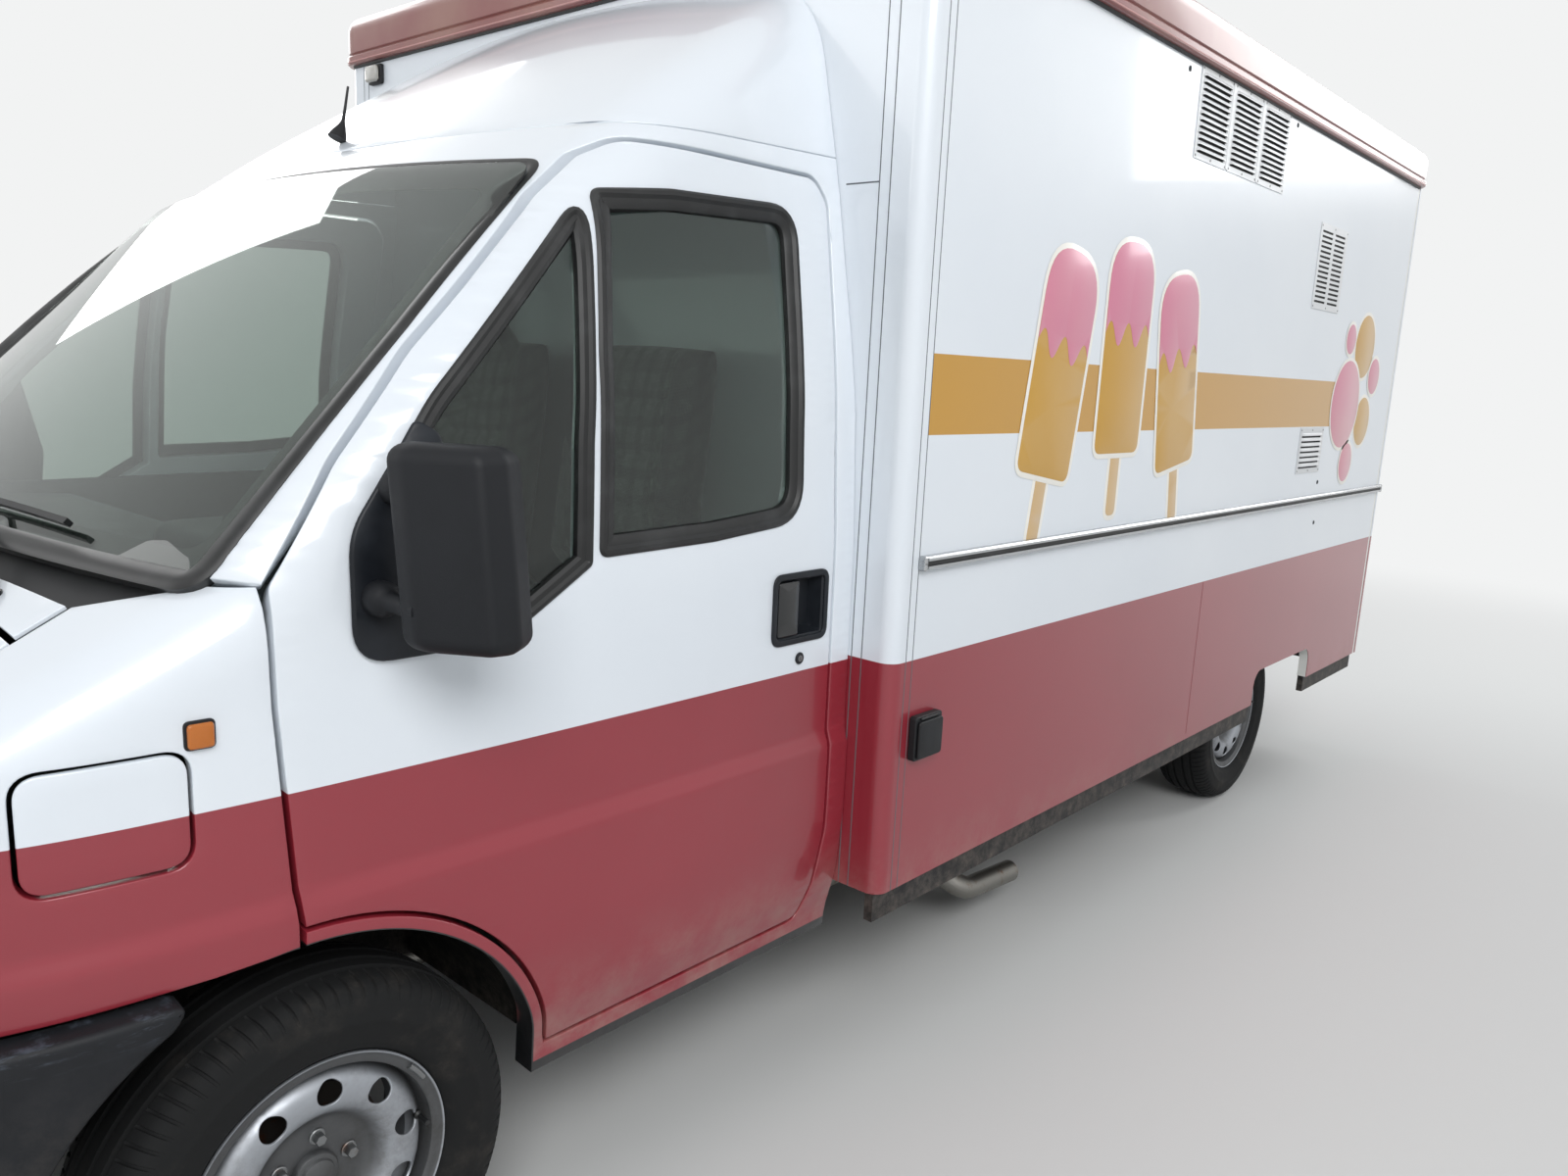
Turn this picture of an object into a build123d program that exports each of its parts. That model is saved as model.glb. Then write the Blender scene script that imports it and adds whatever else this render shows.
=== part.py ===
"""Ice cream truck: a van's front with a box body behind it. Millimetres, +X forward, +Y to the
truck's left, +Z up, origin on the ground under the middle of the whole truck."""
import os
from math import cos, radians, sin, sqrt

from build123d import *

os.makedirs("parts", exist_ok=True)

# Whole truck
wheelbase = 3700.0
front_overhang = 925.0
rear_overhang = 1045.0
overall_length = front_overhang + wheelbase + rear_overhang
front_axle_x = overall_length / 2 - front_overhang
rear_axle_x = front_axle_x - wheelbase
panel_gap = 8.0
seat_gap = 0.3
far = 4000.0

# Wheels
tyre_radius = 330.0
tyre_width = 205.0
tyre_shoulder = 34.0
track = 1720.0
rim_flange_radius = 207.0
rim_width = 166.0
rim_wall = 9.0
rim_vent_count = 10
rim_vent_radius = 20.5
rim_vent_pitch_radius = 144.0
rim_vent_depth = 50.0
hub_radius = 72.0
hub_bore_radius = 26.0
wheel_y = track / 2

# Steering
kingpin_tilt = 14.0
ball_joint_y = 790.0
ball_joint_z = 222.0
strut_radius = 26.0
spring_radius = 56.0
spring_length = 215.0
strut_top_z = 890.0

# Cab
cab_length = 1180.0
cab_half_width = 990.0
sill_z = 394.0
sill_skirt = 49.0
swage_z = 812.0
waist_z = 1225.0
header_z = 1955.0
arch_x = 20.0
arch_z = 350.0
arch_radius = 396.0
arch_flange = 21.0
frame_wall = 50.0
door_wall = 60.0
wing_wall = 24.0
glass_thickness = 5.0
glass_depth = 12.0

# Windscreen, over-cab fairing and bonnet, as straight runs on the centre line, each crowned across
screen_foot = (240.0, 1270.0)
screen_head = (-410.0, 1925.0)
fairing_head_z = 2415.0
screen_crown_radius = 5500.0
fairing_crown_radius = 6000.0
bonnet_foot = (780.0, 955.0)
bonnet_head = (240.0, 1250.0)
bonnet_crown_radius = 9000.0
screen_length = 905.0
screen_foot_half_width = 852.0
screen_head_half_width = 782.0
screen_foot_rise = 45.0
screen_corner = 70.0
parting_front_z = 1985.0
parting_back_z = 2012.0
fairing_wall = 30.0

# Nose
bonnet_half_width = 725.0
bonnet_front_z = 925.0
bonnet_wall = 24.0
bonnet_back_x = 300.0
lamp_inner_y = 452.0
lamp_outer_y = 840.0
lamp_depth = 90.0
grille_wall = 34.0
grille_slot_count = 5
wing_bottom_z = 738.0
bumper_bottom_z = 300.0
bumper_reach = 50.0
bumper_lap = 10.0
filler_x = (170.0, 357.0)
filler_z = (909.0, 1060.0)
filler_radius = 28.0

# Cab inside
cab_floor_z = 520.0
cab_floor_wall = 30.0
firewall_x = 62.0
wheelhouse_radius = 430.0
wheelhouse_wall = 12.0
wheelhouse_inner_y = 500.0
dash_depth = 330.0
dash_height = 300.0
steering_wheel_radius = 205.0
steering_wheel_rim = 15.0
steering_column_tilt = 40.0
steering_y = 430.0
seat_width = 480.0
seat_length = 480.0
seat_height = 130.0
seat_back_height = 640.0
seat_back_thickness = 120.0

# Box body
box_half_width = 1093.0
box_wall = 35.0
box_bottom_z = 461.0
box_top_z = 2440.0
box_back_stand = 45.0
corner_radius = 35.0
corner_depth = 74.0
corner_width = 105.0
box_floor_z = 700.0
box_floor_wall = 40.0
skirt_height = 62.0
skirt_thickness = 22.0
skirt_inset = 10.0
roof_top_z = 2556.0
roof_wall = 35.0
trim_height = 142.0
trim_stand = 24.0
trim_round = 42.0
rear_cut_front = 270.0
rear_cut_back = 340.0
rear_cut_top_z = 585.0
rear_cut_radius = 60.0
rail_z = 1195.0
rail_height = 30.0
rail_stand = 20.0

# Serving side, which is the right wall
hatch_front = 620.0
hatch_length = 2060.0
hatch_bottom_z = 1270.0
hatch_height = 900.0
counter_length = 1980.0
counter_height = 330.0
counter_thickness = 24.0
counter_hinge_z = 1215.0
counter_clearance = 5.0

# Rear door, in the rear wall
rear_door_width = 760.0
rear_door_height = 1640.0
rear_door_bottom_z = 740.0
rear_door_edge_y = 400.0

# Running gear
rail_y = 420.0
frame_rail_width = 60.0
frame_rail_z = 400.0
bearer_count = 4
bearer_width = 60.0
bearer_end = 1040.0
subframe_z = 270.0
subframe_height = 70.0
engine_height = 590.0
axle_tube_radius = 34.0
brake_radius = 128.0
brake_thickness = 42.0
leaf_y = 545.0
leaf_width = 60.0
leaf_span = 1180.0
leaf_thickness = 30.0
leaf_rise = 90.0
exhaust_radius = 32.0
exhaust_y = 850.0
exhaust_z = 122.0

# Derived places
cab_back_x = front_axle_x - cab_length
box_front_x = cab_back_x
box_back_x = -overall_length / 2 + box_back_stand
box_length = box_front_x - box_back_x
nose_x = front_overhang - bumper_reach


def fore(x):
    """A distance ahead of the front axle as a place along the truck."""
    return front_axle_x + x


def aft(x):
    """A distance behind the box's front face as a place along the truck."""
    return box_front_x - x


# The cab's cross-section: height, and how far it lies inside the cab's half width
cab_section = (
    (sill_z - 400, 60),
    (sill_z, 40),
    (sill_z + 76, 15),
    (sill_z + 226, 0),
    (swage_z - 20, 0),
    (swage_z + 20, 12),
    (waist_z, 14),
    (waist_z + 295, 32),
    (waist_z + 415, 50),
    (header_z, 107),
    (header_z + 260, 163),
    (header_z + 445, 215),
    (header_z + 600, 260),
)

# The cab's outline from above: distance ahead of the axle, and how far inside the half width
cab_plan = (
    (-overall_length, 0),
    (-690, 4),
    (-390, 10),
    (-150, 22),
    (30, 30),
    (150, 40),
    (270, 52),
    (370, 72),
    (nose_x - 275, 140),
    (nose_x - 115, 250),
    (nose_x - 35, 410),
    (nose_x - 6, 650),
    (nose_x, 800),
)


def plan_face(grow):
    """The cab's outline from above, grown or shrunk evenly."""
    half = [(fore(x), cab_half_width - inset) for x, inset in cab_plan]
    with BuildSketch() as face:
        with BuildLine():
            Polyline(*half, *[(x, -y) for x, y in reversed(half)], close=True)
        make_face()
        if grow:
            offset(amount=grow, kind=Kind.INTERSECTION)
    return face.sketch


def plan_prism(grow):
    """The cab's outline from above as an upright prism."""
    with BuildPart() as prism:
        add(plan_face(grow))
        extrude(amount=far)
    return prism.part


def side_form(inset):
    """The cab's closed side form, inset by a wall: the cross-section cut to the plan outline."""
    half = [(cab_half_width - narrow, z) for z, narrow in cab_section]
    with BuildPart() as form:
        with BuildSketch(Plane.YZ.offset(cab_back_x - (100 if inset else 0))):
            with BuildLine():
                Polyline(*half, *[(-y, z) for y, z in reversed(half)], close=True)
            make_face()
            if inset:
                offset(amount=-inset, kind=Kind.INTERSECTION)
        extrude(amount=cab_length + front_overhang + 200)
        add(plan_prism(-inset), mode=Mode.INTERSECT)
    return form.part


def crowned_space(foot, head, radius, inset):
    """The space under a sheet that runs straight from foot to head and is crowned across."""
    run = Vector(head[0] - foot[0], 0, head[1] - foot[1])
    half = cab_half_width + 200
    sag = radius - sqrt((radius - inset) ** 2 - half**2)
    with BuildPart() as space:
        with BuildSketch(Plane(origin=(fore(foot[0]), 0, foot[1]), x_dir=(0, 1, 0), z_dir=run)):
            with BuildLine():
                ThreePointArc((-half, sag), (0, inset), (half, sag))
                Polyline((half, sag), (half, far), (-half, far), (-half, sag))
            make_face()
        extrude(amount=far, both=True)
    return space.part


def upper_form(inset):
    """The closed cab above the waist: side form under the windscreen and the fairing."""
    fairing_head = (-cab_length, fairing_head_z)
    with BuildPart() as form:
        add(side_form(inset))
        add(crowned_space(screen_foot, screen_head, screen_crown_radius, inset), mode=Mode.INTERSECT)
        add(crowned_space(screen_head, fairing_head, fairing_crown_radius, inset), mode=Mode.INTERSECT)
    return form.part


def nose_form(inset):
    """The closed cab below the waist: side form under the bonnet."""
    with BuildPart() as form:
        add(side_form(inset))
        add(crowned_space(bonnet_foot, bonnet_head, bonnet_crown_radius, inset), mode=Mode.INTERSECT)
    return form.part


def side_prism(points, left=True):
    """An outline seen from the side, given as distances ahead of the axle and heights."""
    with BuildPart() as prism:
        with BuildSketch(Plane.XZ):
            with BuildLine():
                Polyline(*[(fore(x), z) for x, z in points], close=True)
            make_face()
        extrude(amount=far / 2, dir=(0, 1 if left else -1, 0))
    return prism.part


def arch_disc(radius, near, reach):
    """A disc round the front wheel arch's centre, from one place across the truck outwards."""
    with BuildPart() as disc:
        with BuildSketch(Plane.XZ.offset(-near)):
            with Locations((fore(arch_x), arch_z)):
                Circle(radius)
        extrude(amount=-reach)
    return disc.part


def write(builder, name):
    """Labels a finished piece and writes it."""
    builder.part.label = name
    export_step(builder.part, f"parts/{name}.step")


# Door outline, from its lower rear corner round: distance ahead of the axle, height
door_outline = (
    (-1068, sill_z + 9),
    (-1093, sill_z + 85),
    (-1112, sill_z + 210),
    (-1112, waist_z + 275),
    (-1132, header_z - 40),
    (-1100, header_z + 5),
    (-620, header_z + 3),
    (-549, header_z - 32),
    (-477, header_z - 75),
    (-410, header_z - 138),
    (55, waist_z + 41),
    (52, waist_z - 125),
    (29, swage_z - 35),
    (arch_x, sill_z + 9),
)
window_outline = (
    (-548, waist_z + 40),
    (-980, waist_z + 85),
    (-1018, waist_z + 130),
    (-1008, header_z - 105),
    (-985, header_z - 80),
    (-940, header_z - 75),
    (-560, header_z - 100),
    (-545, header_z - 120),
)
quarter_outline = (
    (-500, header_z - 135),
    (-415, header_z - 170),
    (-340, header_z - 255),
    (-80, waist_z + 100),
    (-390, waist_z - 5),
    (-462, waist_z + 15),
    (-478, waist_z + 55),
)


def door_space(grow):
    """The door's outline as a prism, grown by a gap, clear of the wheel arch."""
    with BuildPart() as space:
        with BuildSketch(Plane.XZ):
            with BuildLine():
                Polyline(*[(fore(x), z) for x, z in door_outline], close=True)
            make_face()
            if grow:
                offset(amount=grow, kind=Kind.INTERSECTION)
            with Locations((fore(arch_x), arch_z)):
                Circle(arch_radius + arch_flange + panel_gap - grow, mode=Mode.SUBTRACT)
        extrude(amount=-far / 2)
    return space.part


def box_solid(x, y, z):
    """A plain block between two places along, across and up."""
    with BuildPart() as block:
        with BuildSketch(Plane.XY.offset(min(z))):
            with Locations(((x[0] + x[1]) / 2, (y[0] + y[1]) / 2)):
                Rectangle(abs(x[1] - x[0]), abs(y[1] - y[0]))
        extrude(amount=abs(z[1] - z[0]))
    return block.part


# Doors with their panes, left and then mirrored
with BuildPart() as door_left:
    add(side_form(0))
    add(side_form(door_wall), mode=Mode.SUBTRACT)
    add(door_space(0), mode=Mode.INTERSECT)
    add(side_prism(window_outline), mode=Mode.SUBTRACT)
    add(side_prism(quarter_outline), mode=Mode.SUBTRACT)
write(door_left, "door_left")

with BuildPart() as door_right:
    mirror(door_left.part, about=Plane.XZ)
write(door_right, "door_right")

with BuildPart() as door_glass_left:
    for outline in (window_outline, quarter_outline):
        with BuildSketch(Plane.XZ):
            with BuildLine():
                Polyline(*[(fore(x), z) for x, z in outline], close=True)
            make_face()
        extrude(amount=-far / 2)
    add(side_form(glass_depth), mode=Mode.INTERSECT)
    add(side_form(glass_depth + glass_thickness), mode=Mode.SUBTRACT)
write(door_glass_left, "door_glass_left")

with BuildPart() as door_glass_right:
    mirror(door_glass_left.part, about=Plane.XZ)
write(door_glass_right, "door_glass_right")

# Cab frame: pillars, header, cant rails, cowl bar, sills and arch flanges in one welded body
screen_run = Vector(screen_head[0] - screen_foot[0], 0, screen_head[1] - screen_foot[1]).normalized()
screen_out = Vector(screen_run.Z, 0, -screen_run.X)
screen_plane = Plane(origin=(fore(screen_foot[0]), 0, screen_foot[1]), x_dir=(0, 1, 0), z_dir=screen_out)
wing_top_z = waist_z + 41
hinge_lug_z = (swage_z + 38, waist_z - 75)
hinge_lug_height = 60.0
hinge_lug_length = 60.0
cowl_x = (firewall_x - 20, firewall_x + 45)
cowl_z = (waist_z - 60, waist_z - 5)


def screen_space():
    """The windscreen's outline as a prism square to the glass."""
    foot, head = screen_foot_half_width, screen_head_half_width
    with BuildPart() as space:
        with BuildSketch(screen_plane) as outline:
            with BuildLine():
                ThreePointArc((-foot, screen_foot_rise), (0, 0), (foot, screen_foot_rise))
                Polyline((foot, screen_foot_rise), (head, screen_length), (-head, screen_length),
                         (-foot, screen_foot_rise))
            make_face()
            fillet(outline.vertices(), screen_corner)
        extrude(amount=300, both=True)
    return space.part


band_back_x = -cab_length - 10
band_front_x = screen_foot[0] + 30
belt_z = waist_z + 10
post_top_z = wing_top_z + panel_gap
upper_band = (
    (band_back_x, belt_z),
    (arch_x + 38, belt_z),
    (arch_x + 38, post_top_z),
    (band_front_x, post_top_z),
    (band_front_x, parting_front_z),
    (screen_head[0] - 20, parting_front_z),
    (band_back_x, parting_back_z),
)
lower_band = (
    (band_back_x, sill_z - sill_skirt),
    (arch_x + 10, sill_z - sill_skirt),
    (arch_x + 10, belt_z),
    (band_back_x, belt_z),
)
post_band = (
    (arch_x - 20, sill_z),
    (arch_x + 100, sill_z),
    (arch_x + 100, post_top_z + 10),
    (arch_x - 20, post_top_z + 10),
)

with BuildPart() as frame_side:
    add(side_form(0))
    add(side_form(frame_wall), mode=Mode.SUBTRACT)
    add(side_prism(lower_band), mode=Mode.INTERSECT)

with BuildPart() as frame_post:
    add(side_form(wing_wall))
    add(side_form(wing_wall + frame_wall), mode=Mode.SUBTRACT)
    add(side_prism(post_band), mode=Mode.INTERSECT)

with BuildPart() as frame_lugs:
    add(side_form(wing_wall + 6))
    add(side_form(door_wall), mode=Mode.SUBTRACT)
    with BuildSketch(Plane.XZ):
        for z in hinge_lug_z:
            with Locations((fore(arch_x + 35), z + hinge_lug_height / 2)):
                Rectangle(hinge_lug_length, hinge_lug_height)
    extrude(amount=-far / 2, mode=Mode.INTERSECT)
    add(door_space(seat_gap), mode=Mode.SUBTRACT)

with BuildPart() as frame_cowl:
    add(nose_form(wing_wall))
    add(box_solid((fore(cowl_x[0]), fore(cowl_x[1])), (0, far / 2), cowl_z), mode=Mode.INTERSECT)

with BuildPart() as cab_frame:
    add(upper_form(0))
    add(upper_form(frame_wall), mode=Mode.SUBTRACT)
    add(side_prism(upper_band), mode=Mode.INTERSECT)
    add(screen_space(), mode=Mode.SUBTRACT)
    add(frame_side.part)
    add(frame_post.part)
    add(frame_cowl.part)
    add(door_space(panel_gap), mode=Mode.SUBTRACT)
    add(arch_disc(arch_radius, 0, far), mode=Mode.SUBTRACT)
    add(frame_lugs.part)
    mirror(about=Plane.XZ)
write(cab_frame, "cab_frame")

with BuildPart() as windscreen:
    add(upper_form(glass_depth))
    add(upper_form(glass_depth + glass_thickness), mode=Mode.SUBTRACT)
    add(screen_space(), mode=Mode.INTERSECT)
write(windscreen, "windscreen")

# Scuttle: the plastic tray between windscreen and bonnet, with the bonnet's hinge lugs
scuttle_wall = 40.0
scuttle_front_x = bonnet_back_x - panel_gap
bonnet_lug_y = 480.0
bonnet_lug_length = 20.0
bonnet_lug_width = 60.0
scuttle_space = box_solid((fore(cowl_x[1]), fore(scuttle_front_x)),
                          (-screen_foot_half_width, screen_foot_half_width), (bonnet_front_z, wing_top_z))
with BuildPart() as scuttle:
    add(nose_form(0))
    add(nose_form(scuttle_wall), mode=Mode.SUBTRACT)
    add(scuttle_space, mode=Mode.INTERSECT)
    add(screen_space(), mode=Mode.SUBTRACT)
with BuildPart() as bonnet_lugs:
    add(nose_form(bonnet_wall / 3))
    add(nose_form(bonnet_wall), mode=Mode.SUBTRACT)
    with BuildSketch(Plane.XY.offset(bonnet_front_z)):
        with Locations((fore(bonnet_back_x - seat_gap) - bonnet_lug_length / 2, 0)):
            with GridLocations(0, 2 * bonnet_lug_y, 1, 2):
                Rectangle(bonnet_lug_length, bonnet_lug_width)
    extrude(amount=far, mode=Mode.INTERSECT)
with BuildPart() as scuttle_tray:
    add(scuttle.part)
    add(bonnet_lugs.part)
write(scuttle_tray, "scuttle")

with BuildPart() as roof_fairing:
    add(upper_form(0))
    add(upper_form(fairing_wall), mode=Mode.SUBTRACT)
    with BuildSketch(Plane.XZ):
        with BuildLine():
            Polyline((fore(-cab_length), parting_back_z), (fore(screen_head[0] - 20), parting_front_z),
                     (fore(band_front_x), parting_front_z), (fore(band_front_x), far),
                     (fore(-cab_length), far), close=True)
        make_face()
    extrude(amount=far / 2, both=True, mode=Mode.INTERSECT)
write(roof_fairing, "roof_fairing")

# Wings, with the wheel arch, the lamp's place and, on the left, the filler opening
lamp_top_z = bonnet_front_z - panel_gap
wing_outline = (
    (arch_x + 10 + panel_gap, sill_z),
    (arch_x + 10 + panel_gap, swage_z - 30),
    (52 + panel_gap, waist_z - 125),
    (55 + panel_gap, wing_top_z),
    (nose_x + 40, wing_top_z),
    (nose_x + 40, wing_bottom_z),
    (arch_x + 130, wing_bottom_z),
    (arch_x + 130, sill_z),
)


def bonnet_space(grow):
    """The bonnet's place from above and in front, grown by a gap."""
    return box_solid((fore(bonnet_back_x) - grow, fore(far)),
                     (-bonnet_half_width - grow, bonnet_half_width + grow), (bonnet_front_z - grow, far))


def filler_space(grow):
    """The filler flap's place in the left wing, grown by a gap."""
    with BuildPart() as space:
        with BuildSketch(Plane.XZ) as outline:
            with Locations((fore(sum(filler_x) / 2), sum(filler_z) / 2)):
                RectangleRounded(filler_x[1] - filler_x[0], filler_z[1] - filler_z[0], filler_radius)
            if grow:
                offset(amount=grow)
        extrude(amount=-far / 2)
    return space.part


with BuildPart() as wing_form:
    add(nose_form(0))
    add(nose_form(wing_wall), mode=Mode.SUBTRACT)
    add(side_prism(wing_outline), mode=Mode.INTERSECT)
    add(arch_disc(arch_radius, 0, far), mode=Mode.SUBTRACT)
    add(bonnet_space(panel_gap), mode=Mode.SUBTRACT)
    add(box_solid((fore(-500), fore(far)), (-far, lamp_inner_y), (0, far)), mode=Mode.SUBTRACT)
    add(box_solid((fore(-500), fore(bonnet_back_x)), (0, screen_foot_half_width + panel_gap), (0, far)),
        mode=Mode.SUBTRACT)
    add(box_solid((fore(nose_x - 330), fore(far)), (0, lamp_outer_y), (0, lamp_top_z)), mode=Mode.SUBTRACT)
    add(frame_post.part, mode=Mode.SUBTRACT)

filler_lug = 14.0
with BuildPart() as filler_lugs:
    add(nose_form(0))
    add(nose_form(wing_wall / 2), mode=Mode.SUBTRACT)
    with BuildSketch(Plane.XZ):
        with GridLocations(0, filler_lug * 5, 1, 2):
            with Locations((fore(filler_x[1]) + panel_gap / 2 + seat_gap, sum(filler_z) / 2)):
                Rectangle(panel_gap, filler_lug)
    extrude(amount=-far / 2, mode=Mode.INTERSECT)

with BuildPart() as wing_left:
    add(wing_form.part)
    add(filler_space(panel_gap), mode=Mode.SUBTRACT)
    add(filler_lugs.part)
write(wing_left, "wing_left")

with BuildPart() as wing_right:
    mirror(wing_form.part, about=Plane.XZ)
write(wing_right, "wing_right")

with BuildPart() as filler_flap:
    add(nose_form(0))
    add(nose_form(wing_wall / 2), mode=Mode.SUBTRACT)
    add(filler_space(0), mode=Mode.INTERSECT)
write(filler_flap, "filler_flap")

with BuildPart() as bonnet:
    add(nose_form(0))
    add(nose_form(bonnet_wall), mode=Mode.SUBTRACT)
    add(bonnet_space(0), mode=Mode.INTERSECT)
write(bonnet, "bonnet")

grille_half_width = lamp_inner_y - seat_gap
grille_height = lamp_top_z - wing_bottom_z
with BuildPart() as front_panel:
    add(nose_form(0))
    add(nose_form(grille_wall), mode=Mode.SUBTRACT)
    add(box_solid((fore(0), fore(far)), (-grille_half_width, grille_half_width),
                  (wing_bottom_z, lamp_top_z)), mode=Mode.INTERSECT)
    with BuildSketch(Plane.YZ):
        with GridLocations(0, grille_height / (grille_slot_count + 1), 1, grille_slot_count):
            with Locations((0, wing_bottom_z + grille_height / 2)):
                Rectangle(grille_half_width * 1.7, grille_height / (grille_slot_count + 1) / 2)
    extrude(amount=far, mode=Mode.SUBTRACT)
write(front_panel, "front_panel")

bumper_top_z = wing_bottom_z - panel_gap
plate_z = 560.0
plate_hole_spacing = 300.0
plate_hole_radius = 3.5
with BuildPart() as front_bumper:
    add(plan_prism(bumper_reach))
    add(plan_prism(-bumper_lap), mode=Mode.SUBTRACT)
    add(box_solid((fore(arch_x + 130 + panel_gap), fore(far)), (-cab_half_width, cab_half_width),
                  (bumper_bottom_z, bumper_top_z)), mode=Mode.INTERSECT)
    add(arch_disc(arch_radius, -far, 2 * far), mode=Mode.SUBTRACT)
    with BuildSketch(Plane.YZ):
        with Locations((0, plate_z)):
            with GridLocations(plate_hole_spacing, 0, 2, 1):
                Circle(plate_hole_radius)
    extrude(amount=far, mode=Mode.SUBTRACT)
write(front_bumper, "front_bumper")

# Cab floor, firewall and wheelhouses in one pressing
with BuildPart() as wheelhouse:
    add(arch_disc(wheelhouse_radius, wheelhouse_inner_y, 500))
    add(arch_disc(wheelhouse_radius - wheelhouse_wall, wheelhouse_inner_y + wheelhouse_wall, 500),
        mode=Mode.SUBTRACT)
    add(side_form(frame_wall + wing_wall + 1), mode=Mode.INTERSECT)
    add(box_solid((fore(-far), fore(far)), (0, far), (cab_floor_z - 120, far)), mode=Mode.INTERSECT)

kingpin_run = Vector(0, -sin(radians(kingpin_tilt)), cos(radians(kingpin_tilt)))
kingpin_plane = Plane(origin=(front_axle_x, ball_joint_y, ball_joint_z), x_dir=(1, 0, 0), z_dir=kingpin_run)
strut_length = (strut_top_z - ball_joint_z) / cos(radians(kingpin_tilt))
tower_wall = 8.0
tower_bore = spring_radius + 10
tower_height = 190.0
with BuildPart() as tower_bores:
    with BuildSketch(kingpin_plane.offset(strut_length + seat_gap)):
        Circle(tower_bore)
    extrude(amount=-tower_height - 60)
    mirror(about=Plane.XZ)
with BuildPart() as towers:
    with BuildSketch(kingpin_plane.offset(strut_length + seat_gap + tower_wall)):
        Circle(tower_bore + tower_wall)
    extrude(amount=-tower_height)
    mirror(about=Plane.XZ)

with BuildPart() as cab_floor:
    add(side_form(frame_wall))
    with BuildSketch(Plane.XZ):
        with BuildLine():
            Polyline((fore(-cab_length), cab_floor_z), (fore(firewall_x + cab_floor_wall), cab_floor_z),
                     (fore(firewall_x + cab_floor_wall), waist_z - 60), (fore(firewall_x), waist_z - 60),
                     (fore(firewall_x), cab_floor_z + cab_floor_wall),
                     (fore(-cab_length), cab_floor_z + cab_floor_wall), close=True)
        make_face()
    extrude(amount=far / 2, both=True, mode=Mode.INTERSECT)
    add(side_form(frame_wall + wing_wall + 1), mode=Mode.INTERSECT)
    for side in (-1, 1):
        add(arch_disc(wheelhouse_radius - wheelhouse_wall, side * wheelhouse_inner_y, side * 600),
            mode=Mode.SUBTRACT)
    add(wheelhouse.part)
    mirror(wheelhouse.part, about=Plane.XZ)
    add(towers.part)
    add(tower_bores.part, mode=Mode.SUBTRACT)
write(cab_floor, "cab_floor")

# Cab inside: dashboard, steering wheel and seats
column_radius = 18.0
column_run = Vector(-cos(radians(steering_column_tilt)), 0, sin(radians(steering_column_tilt)))
column_foot = Vector(fore(firewall_x - dash_depth + 40), steering_y, waist_z - 170)
dash_top_x = fore(cowl_x[0] - seat_gap)
dash_foot_x = fore(firewall_x - seat_gap)
dash_back_x = fore(firewall_x - dash_depth)
with BuildPart() as dashboard:
    add(side_form(frame_wall + wing_wall + 14))
    with BuildSketch(Plane.XZ) as section:
        with BuildLine():
            Polyline((dash_top_x, waist_z - 20), (dash_back_x, waist_z - 45),
                     (dash_back_x - 30, waist_z - 110),
                     (dash_back_x + 60, waist_z - dash_height), (dash_foot_x, waist_z - dash_height),
                     (dash_foot_x, cowl_z[0] - seat_gap), (dash_top_x, cowl_z[0] - seat_gap), close=True)
        make_face()
    extrude(amount=far / 2, both=True, mode=Mode.INTERSECT)
    with BuildSketch(Plane(origin=column_foot, x_dir=(0, 1, 0), z_dir=column_run)):
        Circle(column_radius + seat_gap)
    extrude(amount=far / 4, both=True, mode=Mode.SUBTRACT)
write(dashboard, "dashboard")

wheel_plane = Plane(origin=column_foot + column_run * 210, x_dir=(0, 1, 0), z_dir=column_run)
with BuildPart() as steering_wheel:
    with BuildSketch(Plane(origin=wheel_plane.origin, x_dir=column_run, z_dir=(0, -1, 0))) as ring:
        with Locations((0, steering_wheel_radius)):
            Circle(steering_wheel_rim)
    revolve(axis=Axis(wheel_plane.origin, column_run))
    with BuildSketch(wheel_plane.offset(-30)):
        Circle(48)
    extrude(amount=32)
    with BuildSketch(wheel_plane.offset(-22)):
        for turn in (0, 120, 240):
            with Locations(Location((0, 0), turn + 90)):
                with Locations((steering_wheel_radius / 2, 0)):
                    Rectangle(steering_wheel_radius, 30)
    extrude(amount=14)
    with BuildSketch(wheel_plane.offset(-210)):
        Circle(column_radius)
    extrude(amount=190)
write(steering_wheel, "steering_wheel")

# Seats: place across the cab, width
seat_places = (
    (steering_y, seat_width),
    (-330.0, seat_width * 1.75),
)
seat_base_z = 860.0
seat_top_z = seat_base_z + seat_height
seat_head_z = seat_top_z + seat_back_height
seat_foot_z = cab_floor_z + cab_floor_wall
seat_foot_inset = 60.0
seat_front_x = fore(-430)
seat_rear_x = seat_front_x - seat_length
with BuildPart() as seats:
    for y, width in seat_places:
        with BuildSketch(Plane.XZ.offset(-y + width / 2)):
            with BuildLine():
                Polyline((seat_front_x, seat_base_z), (seat_front_x - 20, seat_top_z),
                         (seat_rear_x, seat_top_z - 25),
                         (seat_rear_x - 110, seat_head_z), (seat_rear_x - 200, seat_head_z),
                         (seat_rear_x - seat_back_thickness, seat_base_z), close=True)
            make_face()
        extrude(amount=-width)
        add(box_solid((seat_rear_x, seat_front_x - 90),
                      (y - width / 2 + seat_foot_inset, y + width / 2 - seat_foot_inset),
                      (seat_foot_z, seat_base_z)))
write(seats, "seats")

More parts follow.
